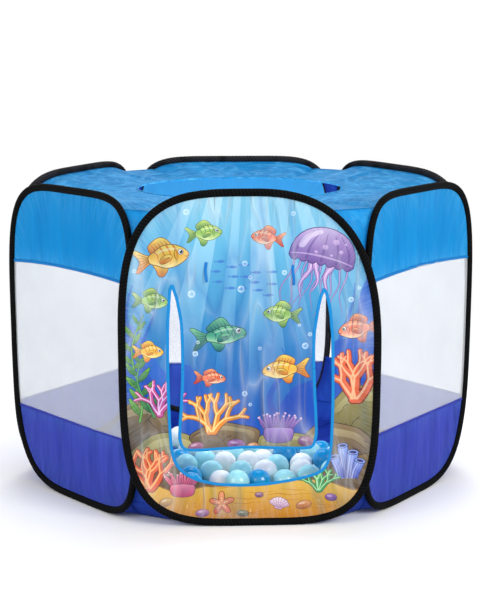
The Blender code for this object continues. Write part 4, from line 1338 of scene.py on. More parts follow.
def tubes(x, z, size, heights, light, colour, ink):
    # tube sponges that stand in a clump, each with a dark mouth in a pale rim
    count = len(heights)
    for number in sorted(range(count), key=lambda n: -heights[n]):
        lean = (number - (count - 1) / 2) * 0.34
        wide = size * (0.42 - 0.03 * abs(number - count / 2))
        foot = np.array([x + lean * size * 0.55, z])
        top = foot + size * heights[number] * np.array([math.sin(lean * 0.6), math.cos(lean * 0.6)])
        path = [foot, (foot * 0.55 + top * 0.45) + (lean * size * -0.05, 0), top]
        paint(ribbon(path, (wide * 0.82, wide * 1.0, wide * 1.20), capped=False), ink)
        paint(ribbon(path, (wide * 0.70, wide * 0.88, wide * 1.08), capped=False), light, colour)
        for offset, fade in ((-0.26, 0.5), (0.02, 0.25)):
            shine = np.array(path) + (offset * wide, 0)
            shine[2, 1] -= 0.1 * size
            paint(ribbon(shine, (wide * 0.12, wide * 0.14, wide * 0.10)), (255, 255, 255, fade))
        paint(oval(top[0], top[1], wide * 1.24, wide * 0.62, -lean * 0.5), ink)
        paint(oval(top[0], top[1], wide * 1.10, wide * 0.50, -lean * 0.5), light)
        paint(oval(top[0], top[1], wide * 0.78, wide * 0.30, -lean * 0.5), (52, 30, 50), colour)


def anemone(x, z, size, light, colour, tip, ink, fingers):
    # bent fingers with round tips, drawn in a mixed order, on a low foot
    rng = np.random.default_rng(fingers)
    for number in rng.permutation(fingers):
        lean = (number / (fingers - 1) - 0.5) * 2
        reach = size * (1.0 - 0.25 * abs(lean)) * rng.uniform(0.82, 1.08)
        foot = np.array([x + lean * size * 0.42, z])
        knee = foot + reach * np.array([0.42 * lean, 0.5])
        end = knee + reach * np.array([0.30 * lean + rng.uniform(-0.16, 0.16), 0.42])
        wide = size * 0.105
        paint(ribbon([foot, knee, end], (wide * 1.5, wide * 1.25, wide * 1.2)), ink)
        paint(ribbon([foot, knee, end], (wide * 1.15, wide * 0.95, wide * 0.9)), light, colour)
        paint(oval(end[0], end[1], wide * 1.25, count=12), ink)
        paint(oval(end[0], end[1], wide * 1.0, count=12), tip)
    base = smoothLoop([(-0.62, 0.12), (-0.3, 0.22), (0.3, 0.22), (0.62, 0.12), (0.54, -0.34), (0.0, -0.46),
                       (-0.54, -0.34)])
    inked(placer(x, z - size * 0.02, size)(base), ink, size * 0.03, light, colour)


def drawPrint():
    # the whole scene from the back to the front; x and z are metres on the front panel
    box = [(-0.30, 0.0), (0.30, 0.0), (0.30, 0.76), (-0.30, 0.76)]
    paint(box, (134, 204, 230), (108, 192, 228), (76, 162, 210), (42, 122, 192), (24, 94, 184),
          (20, 80, 176), (20, 72, 168))
    # rays of light from above
    for x, wide, fade in ((-0.20, 0.030, 0.34), (-0.12, 0.045, 0.40), (-0.045, 0.022, 0.30),
                          (0.03, 0.050, 0.42), (0.10, 0.022, 0.30), (0.165, 0.036, 0.34),
                          (0.225, 0.020, 0.26)):
        low = 0.20 + 0.5 * abs(x)
        ray = [(x * 0.55 - wide * 0.3, 0.76), (x * 0.55 + wide * 0.3, 0.76), (x * 1.5 + wide, low),
               (x * 1.5 - wide, low)]
        paint(ray, (235, 250, 255, fade), (220, 245, 255, fade * 0.75), (200, 235, 255, 0.0))
    # far reefs, far weed and far fish in the haze
    paint(smoothLoop([(-0.32, 0.16), (-0.30, 0.40), (-0.255, 0.455), (-0.215, 0.40), (-0.18, 0.35),
                      (-0.13, 0.365), (-0.09, 0.30), (-0.02, 0.27), (0.03, 0.16)]), (58, 116, 214, 0.75),
          (30, 78, 182, 0.9))
    paint(smoothLoop([(0.33, 0.16), (0.31, 0.50), (0.265, 0.565), (0.235, 0.52), (0.22, 0.43),
                      (0.175, 0.41), (0.15, 0.34), (0.09, 0.31), (0.05, 0.24), (0.03, 0.16)]),
          (52, 104, 208, 0.75), (30, 74, 180, 0.9))
    for number, (x, height) in enumerate(((-0.245, 0.30), (-0.215, 0.24), (0.205, 0.30), (0.06, 0.16))):
        up = np.linspace(0, 1, 9)
        path = np.stack([x + 0.018 * np.sin(up * 6 + number), 0.24 + height * up], axis=-1)
        paint(ribbon(path, (0.015, 0.012, 0.003)), (48, 98, 200, 0.5), (28, 72, 176, 0.85))
    rng = np.random.default_rng(21)
    for number in range(15):
        row, column = divmod(number, 5)
        x = -0.068 + 0.027 * column + rng.uniform(-0.007, 0.007)
        z = 0.588 - 0.022 * row + rng.uniform(-0.006, 0.006) - 0.006 * column
        smallFish(x, z, 0.0105, (66, 124, 208, 0.75))
    # the reef on both sides
    olive = ((168, 158, 96), (96, 88, 60), (64, 58, 44))
    brown = ((150, 128, 92), (84, 66, 58), (58, 46, 44))
    boulder(-0.235, 0.215, 0.15, 0.15, 3, *brown, cracks=5)
    boulder(0.245, 0.235, 0.15, 0.17, 4, *olive, cracks=5)
    boulder(0.190, 0.165, 0.17, 0.13, 6, *brown, cracks=4)
    boulder(-0.165, 0.150, 0.20, 0.12, 8, *olive, cracks=5)
    boulder(0.075, 0.175, 0.13, 0.075, 11, *olive, cracks=3)
    boulder(-0.055, 0.195, 0.15, 0.085, 12, *brown, cracks=4)
    strand(-0.252, 0.24, 0.235, 0.022, 15, (120, 190, 84), (36, 96, 62), 0.034, 1)
    strand(-0.222, 0.25, 0.165, -0.010, 11, (86, 168, 96), (26, 84, 66), 0.028, 2)
    coral(0.228, 0.285, 0.105, 13, (255, 196, 150), (238, 112, 74), (140, 44, 40), 4, 0.17)
    coral(-0.195, 0.255, 0.070, 22, (255, 210, 240), (214, 92, 160), (110, 32, 84), 4, 0.15)
    # on the door's cloth
    coral(-0.085, 0.215, 0.085, 31, (255, 226, 140), (240, 150, 44), (140, 74, 24), 4, 0.15)
    anemone(0.062, 0.212, 0.050, (186, 140, 214), (110, 70, 160), (238, 206, 244), (66, 40, 110), 15)
    for row in ((-0.118, 0.182, 0.034, 0.020, 0.2, (200, 140, 170), (120, 70, 110)),
                (-0.030, 0.186, 0.040, 0.022, -0.1, (176, 120, 178), (104, 62, 116)),
                (0.006, 0.181, 0.026, 0.016, 0.1, (226, 166, 110), (160, 96, 60)),
                (0.122, 0.190, 0.036, 0.022, -0.2, (190, 130, 170), (110, 64, 108))):
        pebble(*row)
    # the sea floor
    ground = smoothLoop([(0.33, 0.06), (-0.33, 0.06), (-0.33, 0.165), (-0.24, 0.158), (-0.17, 0.135),
                         (-0.09, 0.142), (0.0, 0.150), (0.08, 0.138), (0.17, 0.128), (0.25, 0.160),
                         (0.33, 0.150)])
    inked(ground, (60, 48, 40), 0.0016, (140, 118, 76), (112, 88, 56), (84, 62, 46))
    for number in range(16):
        pebble(rng.uniform(-0.27, 0.27), rng.uniform(0.104, 0.138), rng.uniform(0.014, 0.030),
               rng.uniform(0.008, 0.014), rng.uniform(-0.3, 0.3),
               *(((170, 140, 96), (100, 78, 58)) if number % 3 else ((176, 120, 160), (104, 64, 104))))
    x = np.linspace(-0.30, 0.30, 25)
    edge = np.stack([x, 0.098 + 0.016 * np.sin(x * 17 + 0.6) + 0.006 * np.sin(x * 47)], axis=-1)
    sand = np.concatenate([[(0.30, -0.02), (-0.30, -0.02)], edge])
    paint(sand + (0, 0.0035), (150, 104, 44))
    paint(sand, (236, 200, 96), (226, 174, 64), (206, 138, 40), (186, 114, 30))
    for number in range(13):
        z = 0.088 - 0.0062 * number + rng.uniform(-0.002, 0.002)
        start = rng.uniform(-0.26, 0.16)
        run = np.linspace(0, rng.uniform(0.06, 0.14), 6)
        path = np.stack([start + run, z + 0.0018 * np.sin(run * 90 + number)], axis=-1)
        paint(ribbon(path, (0.0005, 0.0022, 0.0005)), (176, 108, 30, 0.5))
    for number in range(50):
        spot = rng.uniform((-0.26, 0.012), (0.26, 0.088))
        grain = (150, 92, 40, 0.6) if number % 2 else (255, 238, 170, 0.8)
        paint(oval(*spot, rng.uniform(0.0012, 0.0028), count=6), grain)
    # what stands and lies in front
    tubes(0.214, 0.105, 0.052, (1.0, 1.45, 1.15, 0.8), (150, 176, 240), (58, 70, 176), (30, 30, 96))
    coral(-0.222, 0.088, 0.085, 41, (255, 190, 120), (232, 96, 50), (128, 40, 26), 5, 0.17)
    anemone(-0.148, 0.088, 0.042, (250, 150, 170), (196, 60, 110), (255, 214, 214), (112, 26, 66), 13)
    coral(0.150, 0.078, 0.052, 51, (190, 240, 170), (70, 168, 96), (24, 84, 60), 5, 0.16)
    starfish(-0.062, 0.052, 0.025, 0.35, (255, 170, 110), (222, 84, 52), (128, 38, 30))
    scallop(0.062, 0.040, 0.023, -12, (250, 232, 240), (206, 160, 196), (104, 64, 110))
    for row in ((-0.105, 0.030, 0.030, 0.017, 0.1, (206, 150, 190), (120, 70, 130)),
                (-0.016, 0.028, 0.026, 0.014, -0.1, (160, 150, 110), (90, 80, 60)),
                (0.118, 0.046, 0.034, 0.019, 0.2, (232, 170, 110), (170, 96, 54)),
                (0.178, 0.062, 0.026, 0.016, -0.2, (180, 120, 190), (100, 56, 130)),
                (-0.185, 0.056, 0.028, 0.018, 0.3, (226, 190, 120), (160, 110, 60)),
                (0.020, 0.070, 0.018, 0.011, 0.0, (190, 140, 170), (110, 70, 110))):
        pebble(*row)
    # swimmers
    jellyfish(0.150, 0.588, 0.070, -14)
    gold = ((252, 226, 110), (246, 190, 70), (255, 236, 170), (222, 120, 48), (120, 62, 30))
    lime = ((206, 226, 120), (150, 196, 96), (226, 240, 180), (84, 140, 84), (38, 78, 62))
    teal = ((120, 200, 150), (66, 158, 132), (190, 232, 190), (30, 100, 110), (20, 60, 74))
    coralFish = ((255, 180, 120), (244, 120, 84), (255, 226, 190), (196, 62, 62), (112, 34, 44))
    fish(-0.176, 0.600, 0.046, 10, 1, *gold)
    fish(-0.090, 0.650, 0.030, 6, 1, *lime)
    fish(-0.205, 0.505, 0.030, -4, 1, *lime)
    fish(0.030, 0.640, 0.028, -8, -1, *coralFish)
    fish(-0.055, 0.430, 0.046, 8, 1, *teal, deep=0.40, spiky=0.16)
    fish(0.060, 0.475, 0.032, -6, -1, *lime)
    fish(0.066, 0.352, 0.040, 4, -1, *gold, deep=0.46)
    fish(-0.080, 0.335, 0.027, -4, 1, *coralFish, deep=0.42)
    fish(0.225, 0.440, 0.036, 8, -1, *coralFish)
    fish(-0.212, 0.395, 0.026, 0, 1, *gold)
    for row in ((-0.02, 0.53, 0.015), (0.00, 0.555, 0.009), (-0.012, 0.585, 0.012),
                (0.118, 0.405, 0.014), (0.128, 0.43, 0.009), (0.105, 0.45, 0.007),
                (-0.118, 0.39, 0.012), (-0.112, 0.415, 0.008), (0.215, 0.505, 0.012),
                (0.232, 0.53, 0.008), (-0.135, 0.695, 0.013), (-0.012, 0.30, 0.012),
                (0.0, 0.275, 0.008), (-0.24, 0.66, 0.012), (0.09, 0.69, 0.010), (0.235, 0.66, 0.011),
                (0.02, 0.40, 0.008), (-0.125, 0.52, 0.016), (0.072, 0.565, 0.011),
                (-0.245, 0.57, 0.009)):
        bubble(*row)


drawPrint()
print("print drawn")


# The printed front, its door and their edging

frontLook = {
    "spacing": 0.007,
    "thickness": 0.0006,
    "wrinkle": 0.0011,
    # slanting folds: cosine and sine of their turn, then width, length and height
    "slants": ((0.94, 0.34, 0.026, 0.15, 0.0036), (0.80, -0.60, 0.040, 0.17, 0.0024)),
    "swing": ((0.13, 0.16, 0.0030),),
    "slopeStep": 0.0005,
    "rimColour": (0.30, 0.55, 0.85),
    "tapeStep": 0.0025,
    "tapeSides": 12,
    "tapePinch": ((0.006, 1.0, 0.10),),
    "tapeHalfWidth": 0.0034,
    "tapeHalfDepth": 0.0011,
    "flat": (0.549, 0.727),
    # x and z of the middle of the edging, from the left slit's tip to the right one's
    "door": (
        (-0.1656, 0.5396), (-0.1708, 0.5268), (-0.1737, 0.4901), (-0.1762, 0.4423), (-0.1770, 0.3545),
        (-0.1764, 0.2879), (-0.1734, 0.2102), (-0.1705, 0.1760), (-0.1630, 0.1480), (-0.1457, 0.1238),
        (-0.1159, 0.1070), (-0.0808, 0.0979), (-0.0456, 0.0934), (-0.0104, 0.0920), (0.0273, 0.0936),
        (0.0650, 0.0983), (0.1027, 0.1045), (0.1356, 0.1128), (0.1582, 0.1240), (0.1704, 0.1428),
        (0.1764, 0.1740), (0.1783, 0.2080), (0.1796, 0.2833), (0.1785, 0.3503), (0.1765, 0.4233),
        (0.1748, 0.4430), (0.1721, 0.4724), (0.1679, 0.4966), (0.1629, 0.5173), (0.1574, 0.5290),
    ),
    "flap": (
        (-0.1656, 0.5396), (-0.1623, 0.5288), (-0.1567, 0.5121), (-0.1529, 0.4933), (-0.1486, 0.4682),
        (-0.1462, 0.4419), (-0.1451, 0.3982), (-0.1455, 0.3320), (-0.1484, 0.2764), (-0.1525, 0.2202),
        (-0.1518, 0.1964), (-0.1452, 0.1806), (-0.1302, 0.1752), (-0.0855, 0.1758), (-0.0355, 0.1778),
        (0.0096, 0.1785), (0.0395, 0.1773), (0.0869, 0.1754), (0.1253, 0.1757), (0.1371, 0.1810),
        (0.1422, 0.1958), (0.1440, 0.2139), (0.1424, 0.2501), (0.1390, 0.3062), (0.1368, 0.3619),
        (0.1364, 0.4061), (0.1374, 0.4336), (0.1406, 0.4580), (0.1443, 0.4842), (0.1495, 0.5084),
        (0.1539, 0.5206), (0.1574, 0.5290),
    ),
    # the flap's three pieces: both ends, the bodies that the cloth joins and their joint's height
    "pieces": (
        ("upper", 0.5600, 0.4732, "tent", "flap_upper", 0.5330),
        ("middle", 0.4732, 0.3535, "flap_upper", "flap_middle", 0.4133),
        ("lower", 0.3535, 0.1500, "flap_middle", "flap_lower", 0.2937),
    ),
    "bend": 0.009,
}


def frontSwell(x, z):
    # how far the front's cloth stands out: upright folds, slanting ones and a slow swing
    front = byName["front"]
    y = z - front["middle"][2]
    inside = np.clip((1 - (x / front["halfWidth"]) ** 6) * (1 - (y / front["halfHeight"]) ** 6), 0, 1)
    swell = foldsOf(x, z, frontLook["swing"], 83)
    for number, (c, s, *kind) in enumerate(frontLook["slants"]):
        swell = swell + foldsOf(x * c - z * s, x * s + z * c, [kind], 81 + number)
    return clothSwell(front, x, y, 84, frontLook["wrinkle"]) + inside * swell


def frontPlace(x, z, out=0.0):
    # a point of the front's cloth, moved out of it
    return np.stack([x, yFront - frontSwell(x, z) - out, z], axis=-1)


def linear(colours):
    # from the screen's 0 to 255 to the light that the shader works with
    share = np.clip(colours / 255, 0, 1)
    return np.where(share <= 0.04045, share / 12.92, ((share + 0.055) / 1.055) ** 2.4)


def doubleArea(corners):
    # twice the area of flat triangles, below 0 where one turns clockwise
    return np.cross(corners[:, 1] - corners[:, 0], corners[:, 2] - corners[:, 0])


def cutPrint():
    # one triangulation holds every outline: the panel, the doorway, the flap's pieces, the shapes
    outline = evenLoop(byName["front"], 240, bandLook["inset"])[0] + (0, byName["front"]["middle"][2])
    door = smoothLoop(frontLook["door"], 3, closed=False)
    flap = smoothLoop(frontLook["flap"], 3, closed=False)
    regions = [outline, door, flap]
    for _, top, low, *_ in frontLook["pieces"]:
        regions.append(np.array([(-0.2, low), (0.2, low), (0.2, top), (-0.2, top)]))
    outlines = [leftTurning(part) for part in regions + [shape["outline"] for shape in canvas]]
    gap = frontLook["spacing"]
    loose = np.stack(np.meshgrid(np.arange(-0.27, 0.27, gap), np.arange(0.01, 0.735, gap)), axis=-1)
    points = np.concatenate(outlines + [loose.reshape(-1, 2)])
    starts = np.cumsum([0] + [len(part) for part in outlines])
    rings = [list(range(start, end)) for start, end in zip(starts[:-1], starts[1:])]
    result = geometry.delaunay_2d_cdt([Vector(point) for point in points], [], rings, 0, 1e-6, True)
    places = np.array([tuple(place) for place in result[0]])
    triangles = np.array(result[2])
    # the triangles inside each outline, in the outlines' order
    owners = result[5]
    faceOf = np.repeat(np.arange(len(owners)), [len(owner) for owner in owners])
    shapeOf = np.concatenate([np.asarray(owner, int) for owner in owners])
    order = np.argsort(shapeOf, kind="stable")
    faceOf, shapeOf = faceOf[order], shapeOf[order]
    bounds = np.searchsorted(shapeOf, np.arange(len(outlines) + 1))
    members = [faceOf[low:high] for low, high in zip(bounds[:-1], bounds[1:])]
    turned = doubleArea(places[triangles]) < 0
    triangles[turned] = triangles[turned][:, ::-1]
    corners = places[triangles]
    colours = np.full((*triangles.shape, 3), 255.0)
    for shape, faces in zip(canvas, members[len(regions):]):
        painted = shade(shape, corners[faces])
        cover = painted[..., 3:]
        colours[faces] = colours[faces] * (1 - cover) + painted[..., :3] * cover
    inside = np.zeros((len(regions), len(triangles)), bool)
    for row, faces in zip(inside, members):
        row[faces] = True
    return places, triangles, linear(colours), inside


def printedPiece(name, places, triangles, colours, body, node):
    # front and back of the cloth and the rim between them
    front = byName["front"]
    used, compact = np.unique(triangles, return_inverse=True)
    faces = compact.reshape(-1, 3)
    x, z = places[used].T
    half = frontLook["thickness"] / 2
    sides = np.concatenate([frontPlace(x, z, half), frontPlace(x, z, -half)])
    count = len(used)
    edges = np.concatenate([faces[:, [0, 1]], faces[:, [1, 2]], faces[:, [2, 0]]])
    key = np.sort(edges, axis=1) @ np.array([count, 1])
    _, first, times = np.unique(key, return_index=True, return_counts=True)
    start, end = edges[first[times == 1]].T
    rim = np.concatenate([np.stack([end, start, start + count], axis=-1),
                          np.stack([end, start + count, end + count], axis=-1)]) + 2 * count
    gather = gatherField(front, x, z - front["middle"][2])
    data = newMesh(name, np.tile(sides, (2, 1)), np.concatenate([faces, faces[:, ::-1] + count, rim]),
                   np.tile(np.stack([x, z], axis=-1), (4, 1)), {"gather": np.tile(gather, (4, 1))})
    # the front's normal is -(dS/dx, 1, dS/dz) for a swell S, so neighbouring pieces shade alike
    step = frontLook["slopeStep"]
    slopeX = (frontSwell(x + step, z) - frontSwell(x - step, z)) / (2 * step)
    slopeZ = (frontSwell(x, z + step) - frontSwell(x, z - step)) / (2 * step)
    normal = unit(-np.stack([slopeX, np.ones(count), slopeZ], axis=-1))
    normals = np.concatenate([normal, -normal, np.zeros((2 * count, 3))])
    data.normals_split_custom_set_from_vertices(normals.tolist())
    rimColour = np.broadcast_to(np.array(frontLook["rimColour"]), (len(rim), 3, 3))
    everyColour = np.concatenate([colours, colours[:, ::-1], rimColour]).reshape(-1, 3)
    everyColour = np.concatenate([everyColour, np.ones((len(everyColour), 1))], axis=1)
    layer = data.color_attributes.new(name="print", type="FLOAT_COLOR", domain="CORNER")
    layer.data.foreach_set("color", everyColour.astype(np.float32).ravel())
    print(name, len(data.polygons), "triangles")
    return newPiece(name, data, printedCloth, body, [node])


def tubeFaces(rows, columns):
    # the triangles of a stack of rings and of the two poles that close it, numbered after the rings
    quads = gridFaces(rows, columns, wrapColumns=True)
    first = np.arange(columns)
    after = np.roll(first, -1)
    last = (rows - 1) * columns
    tail = np.full(columns, rows * columns)
    return np.concatenate([
        quads[:, [0, 1, 2]], quads[:, [0, 2, 3]],
        np.stack([tail, after, first], axis=-1), np.stack([tail + 1, first + last, after + last], axis=-1),
    ])


def tubeMesh(name, rings, uv):
    # a tube through rings of points, with a pole at the middle of each end
    poles = np.stack([rings[0].mean(axis=0), rings[-1].mean(axis=0)])
    points = np.concatenate([rings.reshape(-1, 3), poles])
    uv = np.concatenate([uv.reshape(-1, 2), [uv[0, 0], uv[-1, 0]]])
    return newMesh(name, points, tubeFaces(*rings.shape[:2]), uv)


def addTape(name, path, body, node):
    # a folded tape along a path on the front: a section |x/a|^2.9 + |y/b|^2.9 = 1, a little uneven
    way = unit(np.gradient(path, axis=0))
    side = np.stack([way[:, 1], -way[:, 0]], axis=-1)
    turn = np.linspace(0, 2 * np.pi, frontLook["tapeSides"], endpoint=False)
    across = np.sign(np.cos(turn)) * np.abs(np.cos(turn)) ** 0.7 * frontLook["tapeHalfWidth"]
    lift = np.sign(np.sin(turn)) * np.abs(np.sin(turn)) ** 0.7 * frontLook["tapeHalfDepth"]
    run = runAlong(path)
    pinch = 1 + foldsOf(run, 0 * run, frontLook["tapePinch"], 17)
    flat = path[:, None] + side[:, None] * (across[None] * pinch[:, None])[..., None]
    depth = frontPlace(*path.T)[:, None, 1] + lift[None]
    rings = np.stack([flat[..., 0], depth, flat[..., 1]], axis=-1)
    uv = np.stack(np.broadcast_arrays(run[:, None], across[None]), axis=-1)
    return newPiece(name, tubeMesh(name, rings, uv), blueTape, body, [node])


def evenPath(controls):
    # a smooth curve through the controls, as evenly spaced points
    fine = smoothLoop(controls, 24, closed=False)
    return evenPoints(fine, int(runAlong(fine)[-1] / frontLook["tapeStep"]))[0]


def addFront():
    # the panel round the doorway, then the flap's pieces, each with its edging
    places, triangles, colours, inside = cutPrint()
    outline, door, flap = inside[:3]
    keep = outline & ~door
    panel = printedPiece("front_print", places, triangles[keep], colours[keep], "tent", "front_panel")
    edging = addTape("doorway_tape", evenPath(frontLook["door"]), "tent", "door_edging")

    edge = evenPath(frontLook["flap"])
    for (part, top, low, above, below, hinge), strip in zip(frontLook["pieces"], inside[3:]):
        keep = flap & strip
        cloth = printedPiece("flap_" + part + "_print", places, triangles[keep], colours[keep], None,
                             "door_flap_" + part)
        within = (edge[:, 1] < top) & (edge[:, 1] >= low)
        left = edge[within & (edge[:, 0] < 0)]
        right = edge[within & (edge[:, 0] >= 0)]
        runs = {"": np.concatenate([left, right])} if part == "lower" else {"_left": left, "_right": right}
        sewn = []
        for side, path in runs.items():  # from the top down, and each end where its piece ends
            if part != "lower":
                path = path[np.argsort(path[:, 1])][::-1]
            if part != "upper":
                path[0, 1] = top
            path[-1, 1] = top if part == "lower" else low
            sewn.append(addTape("flap_" + part + "_tape" + side, path, None, "flap_edging_" + part + side))
        for made in [cloth] + sewn:
            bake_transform(made)


addFront()
print("printed front ready")


# Ribbon ties

tieLook = {
    "halfWidth": 0.0030,
    "halfDepth": 0.00045,
    "twist": 0.9,
    "twistStart": 0.35,
    "off": 0.0016,
    "bulge": 0.0030,
    "sway": 0.0012,
    "rows": 36,
    "sides": 10,
}


def addTie(name, node, x, high, low, side):
    # a short ribbon sewn on at its top: it hangs off the cloth and twists a little towards its end
    share = np.linspace(0, 1, tieLook["rows"])
    z = high + (low - high) * share
    bulge = tieLook["off"] + tieLook["bulge"] * np.sin(share * np.pi * 0.8) * share
    middle = frontPlace(x + 0 * share, z, side * bulge)
    middle[:, 0] += tieLook["sway"] * np.sin(share * 5.0 + x * 40)
    twist = tieLook["twist"] * np.clip(share - tieLook["twistStart"], 0, 1) * np.sign(x)
    turn = np.linspace(0, 2 * np.pi, tieLook["sides"], endpoint=False)
    across = np.cos(turn)[None] * tieLook["halfWidth"]
    lift = np.sin(turn)[None] * tieLook["halfDepth"]
    c, s = np.cos(twist)[:, None], np.sin(twist)[:, None]
    rings = middle[:, None] + np.stack([across * c - lift * s, -side * (across * s + lift * c),
                                        0 * across + 0 * c], axis=-1)
    if side < 0:
        rings = rings[:, ::-1]
    uv = np.stack(np.broadcast_arrays(share[:, None] * (high - low), across), axis=-1)
    newPiece(name, tubeMesh(name, rings, uv), ribbonTape, "tent", [node])


for where, x, high, low in (("left", -0.0940, 0.5880, 0.5460), ("right", 0.0910, 0.5810, 0.5380)):
    for face, side in (("outer", 1), ("inner", -1)):
        addTie(where + "_" + face + "_ribbon", where + "_" + face + "_tie", x, high, low, side)
print("ties ready")


# Balls

ballLook = {
    "radius": 0.0275,
    "drawnRadius": 0.0300,
    "gap": 0.0003,
    "floorThickness": 0.0015,
    "firstLayer": 40,
    "secondLayer": 23,
    "further": 110,
    "furtherField": (0.262, 0.172),
    "highest": 0.090,
    "shares": (0.50, 0.32, 0.18),
    "fieldHalfWidth": 0.235,
    "fieldHalfDepth": 0.122,
    "frontGap": 0.047,
    "seed": 11,
    "tries": 6000,
    "settleSteps": 600,
    "around": 40,
    "rings": 22,
}


def ballPlaces():
    # a close layer of balls, then more laid one by one, each at the lowest free place: on a ball
    # at height h and distance d the next one's middle is at h + sqrt(apart^2 - d^2)
    rng = np.random.default_rng(ballLook["seed"])
    field = np.array([ballLook["fieldHalfWidth"], ballLook["fieldHalfDepth"]])
    centre = np.array([0, yFront + ballLook["frontGap"] + ballLook["fieldHalfDepth"]])
    apart = 2 * ballLook["radius"] + ballLook["gap"]
    floorTop = ballLook["floorThickness"] + ballLook["gap"] + ballLook["drawnRadius"]
    count = ballLook["firstLayer"]
    tries = rng.uniform(-1, 1, size=(4 * count, 2))
    discs = tries[(tries ** 2).sum(axis=1) < 1][:count] * field
    for _ in range(ballLook["settleSteps"]):
        way = discs[:, None] - discs[None]
        distance = np.linalg.norm(way, axis=2)
        np.fill_diagonal(distance, 1.0)
        push = np.clip(apart - distance, 0, None) / 2
        discs = discs + (way * (push / distance)[..., None]).sum(axis=1)
        outside = np.linalg.norm(discs / field, axis=1)
        discs = discs / np.maximum(outside, 1)[:, None]
    placed = [np.append(disc + centre, floorTop) for disc in discs]

    def layMore(spots, count, highest):
        height = np.full(len(spots), floorTop)

        def raiseBy(ball):
            distance = np.linalg.norm(spots - ball[:2], axis=1)
            near = distance < apart
            rest = ball[2] + np.sqrt(apart ** 2 - distance[near] ** 2)
            height[near] = np.maximum(height[near], rest)

        for ball in placed:
            raiseBy(ball)
        for _ in range(count):
            index = int(np.argmin(height))
            if height[index] > highest:
                break
            placed.append(np.append(spots[index], height[index]))
            raiseBy(placed[-1])

    tries = rng.uniform(-1, 1, size=(ballLook["tries"], 2))
    layMore(tries[(tries ** 2).sum(axis=1) < 1] * field + centre, ballLook["secondLayer"], math.inf)
    # loose balls round the heap and on it, over a field with squarer corners
    tries = rng.uniform(-1, 1, size=(2 * ballLook["tries"], 2))
    wide = np.array(ballLook["furtherField"])
    centre[1] += wide[1] - ballLook["fieldHalfDepth"]
    layMore(tries[(tries ** 4).sum(axis=1) < 1] * wide + centre, ballLook["further"], ballLook["highest"])
    return np.array(placed)


def addBalls():
    # every ball is a sphere on a grid of turns, sorted by colour into three pieces
    places = ballPlaces()
    rng = np.random.default_rng(ballLook["seed"] + 1)
    kinds = rng.choice(3, size=len(places), p=ballLook["shares"])
    turn = np.linspace(0, 2 * np.pi, ballLook["around"], endpoint=False)
    tilt = np.linspace(0, np.pi, ballLook["rings"])[1:-1]
    tiltGrid, turnGrid = np.meshgrid(tilt, turn, indexing="ij")
    skin = np.stack([np.sin(tiltGrid) * np.cos(turnGrid), np.sin(tiltGrid) * np.sin(turnGrid),
                     np.cos(tiltGrid)], axis=-1).reshape(-1, 3)
    sphere = np.concatenate([skin, [[0, 0, 1], [0, 0, -1]]])
    triangles = tubeFaces(len(tilt), len(turn))[:, ::-1]
    for kind, (name, material) in enumerate((("balls_white", ballWhite), ("balls_aqua", ballAqua),
                                             ("balls_blue", ballBlue))):
        chosen = places[kinds == kind]
        points = sphere[None] * ballLook["radius"] + chosen[:, None]
        offsets = np.arange(len(chosen)) * len(sphere)
        faces = (triangles[None] + offsets[:, None, None]).reshape(-1, 3)
        data = newMesh(name, points.reshape(-1, 3), faces)
        newPiece(name, data, material, "tent", ["ball_bed"])


addBalls()
print("balls ready")


# Stage, camera and light

stageLook = {"size": 9.0, "floor": 0.78, "floorSeen": 1.0, "fadeStart": 0.75, "fadeEnd": 1.5}


def addStage():
    # a floor that fades into the white background away from the tent
    look = stageLook
    half = look["size"]
    points = np.array([[-half, -half, 0], [half, -half, 0], [half, half, 0], [-half, half, 0]])
    data = newMesh("studio_floor", points, np.array([[0, 1, 2, 3]]))
    finish = newFinish("studio_floor", Roughness=0.8)
    seen = finish.seen()
    grey, white = (look["floor"],) * 3, (look["floorSeen"],) * 3
    finish.give({"Specular IOR Level": 0.1, "Base Color": finish.mix(seen, grey, white)})
    reach = finish.add("VectorMath")
    reach.operation = "LENGTH"
    finish.fill(reach.inputs[0], finish.add("TexCoord").outputs["Object"])
    fade = finish.remap(reach.outputs["Value"], look["fadeStart"], look["fadeEnd"])
    finish.showBy(finish.times(fade, seen), finish.add("Emission"))
    data.materials.append(finish.owner)
    newObject("studio_floor", data)


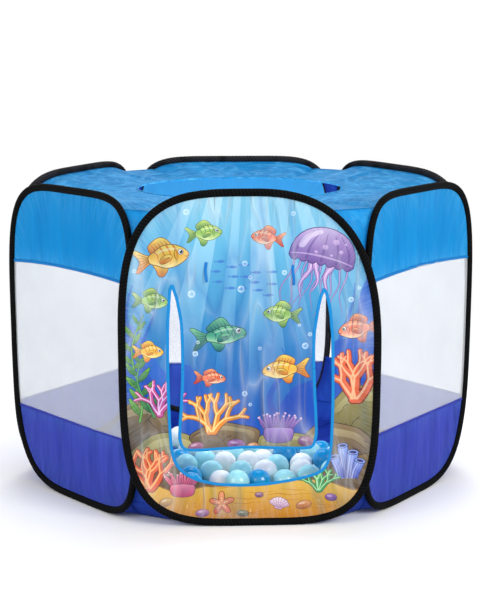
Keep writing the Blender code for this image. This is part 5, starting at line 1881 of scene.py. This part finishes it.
def aim(made, place, target):
    made.location = place
    made.rotation_euler = (Vector(target) - Vector(place)).to_track_quat("-Z", "Y").to_euler()


cameraLook = {
    "place": (-0.149, -3.298, 1.0765),
    "target": (0.0, -0.072, 0.38),
    "lens": 82.32,
    "sensor": 36.0,
    "shift": (-0.0014, 0.0353),
}


def addCamera():
    lens = bpy.data.cameras.new("camera")
    lens.lens = cameraLook["lens"]
    lens.sensor_width = cameraLook["sensor"]
    lens.shift_x, lens.shift_y = cameraLook["shift"]
    lens.clip_start = 0.05
    camera = newObject("camera", lens)
    aim(camera, cameraLook["place"], cameraLook["target"])
    bpy.context.scene.camera = camera


lightLook = {
    "world": 0.62,
    "worldSeen": 1.0,
    # name: place, aimed at, width, watts
    "lamps": {
        "key": ((2.6, -2.9, 2.5), (0, 0, 0.35), 2.0, 98),
        "fill": ((-2.8, -2.6, 1.9), (0, 0, 0.35), 2.2, 50),
        "top": ((0.2, 0.6, 3.6), (0, 0, 0.4), 2.0, 22),
        "back": ((0.3, 3.4, 0.6), (0, 0, 0.5), 2.2, 150),
    },
    # the light that the room sends in through the open roof: place, radius, watts
    "inside": ((0.0, -0.02, 0.46), 0.12, 6.0),
}


def addLamp(name, kind, watts):
    lamp = bpy.data.lights.new(name, kind)
    lamp.energy = watts
    made = newObject(name, lamp)
    made.visible_camera = False
    return made


def addLights():
    world = bpy.data.worlds.new("studio")
    bpy.context.scene.world = world
    sky = Nodes(world)
    background = sky.every["Background"].inputs
    sky.fill(background["Color"], (1.0, 1.0, 1.0))
    strength = sky.remap(sky.seen(), 0.0, 1.0, lightLook["world"], lightLook["worldSeen"])
    sky.fill(background["Strength"], strength)
    for name, (place, target, width, watts) in lightLook["lamps"].items():
        made = addLamp(name, "AREA", watts)
        made.data.shape = "DISK"
        made.data.size = width
        made.visible_glossy = name != "back"
        aim(made, place, target)
    place, radius, watts = lightLook["inside"]
    made = addLamp("inside", "POINT", watts)
    made.data.shadow_soft_size = radius
    made.location = place
    made.visible_glossy = False


addStage()
addCamera()
addLights()
bpy.context.scene.view_settings.view_transform = "Standard"
print("stage ready")
